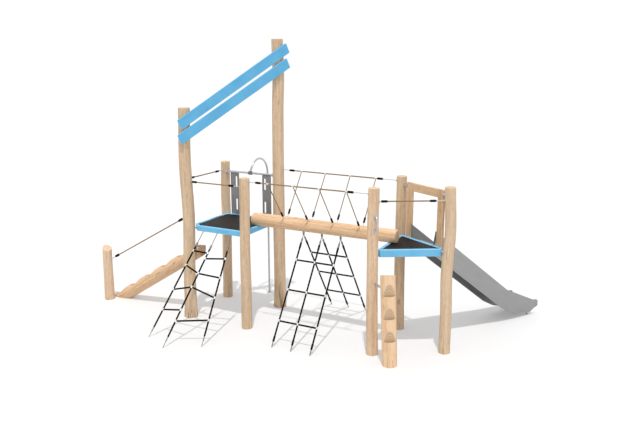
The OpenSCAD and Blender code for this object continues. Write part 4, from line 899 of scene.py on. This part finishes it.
handle_post, handle_top, handle_tall = posts["slide_tower_post_front"], 1.982, 0.186
bow_up, bow_down, bow_in, bow_out, bow_r = 0.72 * handle_tall, 0.28 * handle_tall, 0.004, 0.062 - 0.004, 0.012
handle_h = handle_top - bow_up
step_at = (step_foot - step_side * handle_top * math.tan(lean))[:2]
handle_dir = step_at - post_axis(handle_post, np.array([handle_top]))[0]
handle_dir = np.array([*handle_dir / np.linalg.norm(handle_dir), 0])
_, post_h, foot_r, top_r = handle_post[:4]
post_r = foot_r + (top_r - foot_r) * handle_h / post_h
handle_at = np.array([*post_axis(handle_post, np.array([handle_h]))[0], handle_h]) + handle_dir * (post_r + 0.0003)
swing = np.linspace(-math.pi / 2, math.pi / 2, 60)[:, None]
bow_rise = np.where(swing > 0, bow_up, bow_down)
bow = handle_at + (bow_in + bow_out * np.cos(swing)) * handle_dir + bow_rise * np.sin(swing) * upright
flanges = [disc(handle_at + z * upright, handle_dir, 0.03, 0.008) for z in (bow_up, -bow_down)]
make("bent_grab_handle", [tube(bow, np.cross(handle_dir, upright), bow_r), *flanges], steel, "steel", "grab_handle")


# Slide portal: two planed boards and a beam of pale timber in front of the slide, held off the tower's posts by
# round steel spacers.
portal_along = np.array([math.sqrt(0.75), -0.5, 0])
portal_timber = timber("portal_timber", rgb(197, 159, 120), rgb(221, 186, 148), rgb(234, 202, 167),
                       rgb(132, 98, 66), rgb(166, 121, 80), rgb(176, 148, 118))
sawn_ends = np.array([0.8, 0.8, 0.8, 0.8, 0, 0])
for k, (node, way) in enumerate((("portal_post_left", upright), ("portal_post_right", upright),
                                 ("portal_beam", portal_along))):
    pith = (0.09 + 0.05 * k, 0.06)
    make("planed_" + node, [board(s, way, 0.006, 0.002, sawn_ends, pith=pith) for s in solids(node)],
         portal_timber, "log_timber", node)
turn_up("steel_portal_spacers", "portal_spacers", steel, "steel", 0.003)


# Slide: two leaning sides of brushed stainless sheet with rounded edges, a flat bed between them that runs out
# level and is rolled over at its end, and two round feet under its nose.
def rounded(points, radii, n=8, steps_down=24):
    """Line through the points, its inner corners rounded by arcs of the given radii, in even steps along its first
    flat."""
    p, r = np.asarray(points, float), np.asarray(radii, float)[:, None]
    corner = p[1:-1]
    a, b = p[:-2] - corner, p[2:] - corner
    a, b = a / lengths(a), b / lengths(b)
    half = np.arccos((a * b).sum(1, keepdims=True)) / 2
    centre = corner + (a + b) / lengths(a + b) * r / np.sin(half)
    first, last = (corner + way * r / np.tan(half) - centre for way in (a, b))
    share = np.linspace(0, 1, n)[None, :, None]
    arm = first[:, None] * (1 - share) + last[:, None] * share
    arcs = centre[:, None] + r[:, None] * arm / np.linalg.norm(arm, axis=2, keepdims=True)
    line = join([p[:1], *arcs, p[-1:]])
    flat = line[:1] + (line[1] - line[0]) * np.linspace(0, 1, steps_down)[:-1, None]
    return join([flat, line[1:]])


# The slide's steel is painted darker on the inner faces of its sides, as their shade.
slide_steel = metal("slide_steel", rgb(150, 150, 150), rgb(169, 169, 169), 0.3, 500.0,
                    inner_shade=(rgb(104, 104, 104), rgb(130, 130, 130)))
slide_out, slide_left = np.array([0.5, math.sqrt(0.75), 0]), -portal_along
portal_mid = on_site(3.570333, 0.785)
reach, half_way, flare, sheet, bulge = 2.232, 0.265 - 0.0003, 0.06, 0.016, 0.014
shade_from, shade_full = 0.3, 0.45
top_edge = rounded([[-0.0237, 1.692], [0.67 * reach, 0.554], [0.945 * reach, 0.276], [reach, 0.25],
                    [0.9985 * reach, 0.165]], [0.18, 0.06, 0.045])
foot_edge = rounded([[-0.0237, 1.368], [0.66 * reach, 0.25], [0.775 * reach, 0.112], [0.957 * reach, 0.044],
                     [0.989 * reach, 0.09]], [0.3, 0.5, 0.1])


def on_slide(line, aside):
    """Points of the slide from their way out and height, and how far they lie to the left."""
    return portal_mid + line[..., :1] * slide_out + aside[:, None] * slide_left + line[..., 1:] * upright


def slide_side(side):
    """Sheet from the foot edge out to the top edge, point by point along both, its edges rounded over and its front
    end bulged. The end attribute is 1 on the inner face above the bed, where the steel is painted darker as its
    shade."""
    phi = np.linspace(-math.pi / 2, math.pi / 2, 9)
    up = np.array([0.03, *np.linspace(0.06, 0.94, 7), 0.97])
    across = join([up, np.ones(9), up[::-1], np.zeros(9)])
    thick = join([np.ones(9), 0.5 - 0.5 * np.sin(phi), np.zeros(9), 0.5 + 0.5 * np.sin(phi)])
    lift = join([np.zeros(9), np.cos(phi), np.zeros(9), -np.cos(phi)]) * sheet / 2
    tall = (top_edge - foot_edge)[:, None]
    way = tall / np.linalg.norm(tall, axis=2, keepdims=True)
    line = foot_edge[:, None] + tall * across[:, None] + lift[:, None] * way
    line[-1, :, 0] += bulge * 4 * across * (1 - across)
    points = on_slide(line, side * (half_way - flare * (1 - across) - sheet * (1 - thick)))
    lay = lay_of(across, line[..., 0], side)
    # Painted shade on the inner face: none low down, fading in to full between the two given shares of the way up.
    inner = (1 - thick) * np.clip((across - shade_from) / (shade_full - shade_from), 0, 1) + 0 * line[..., 0]
    part = skin(points[:, ::side], end=inner[:, ::side], lay=lay[:, ::side])
    part["end"][-2:] = 0
    return part


for label, side in (("left", 1), ("right", -1)):
    make("sheet_slide_side_" + label, [slide_side(side)], slide_steel, "slide_steel", "slide_side_" + label)
bed = solids("slide_bed")[0].reshape(-1, 3) - portal_mid
bed_u, bed_half = np.round(bed @ slide_out, 4), np.abs(bed @ portal_along).max()
bed_line = np.unique(bed_u)
bed_top, bed_low = (np.array([limit(bed[bed_u == u, 2]) for u in bed_line]) for limit in (np.max, np.min))
fall = math.atan2(bed_top[-2] - bed_top[-1], bed_line[-1] - bed_line[-2])
lip_r, lip_sheet, lip_stop, bed_cols = 0.035, 0.012, -0.4, 12
lip_mid = np.array([bed_line[-1], bed_top[-1]]) - lip_r * np.array([math.sin(fall), math.cos(fall)])
lip_turn = np.linspace(math.pi / 2 - fall, lip_stop, 14)[1:, None]
lip = join([np.cos(lip_turn), np.sin(lip_turn)], 1)
over = join([np.stack([bed_line, bed_top], 1), lip_mid + lip_r * lip])[:, None]
under = join([np.stack([bed_line, bed_low], 1), lip_mid + (lip_r - lip_sheet) * lip])[:, None]
lap = np.append(np.linspace(-1, 1, bed_cols), np.linspace(1, -1, bed_cols))
level = np.repeat([0.0, 1.0], bed_cols)[:, None]
bed_grid = under + (over - under) * level
make("sheet_slide_bed", [skin(on_slide(bed_grid, bed_half * lap), lay=lay_of(lap, bed_grid[..., 0], 0.0))],
     slide_steel, "slide_steel", "slide_bed", crease=30)
turn_up("steel_slide_feet", "slide_foot", steel, "steel")
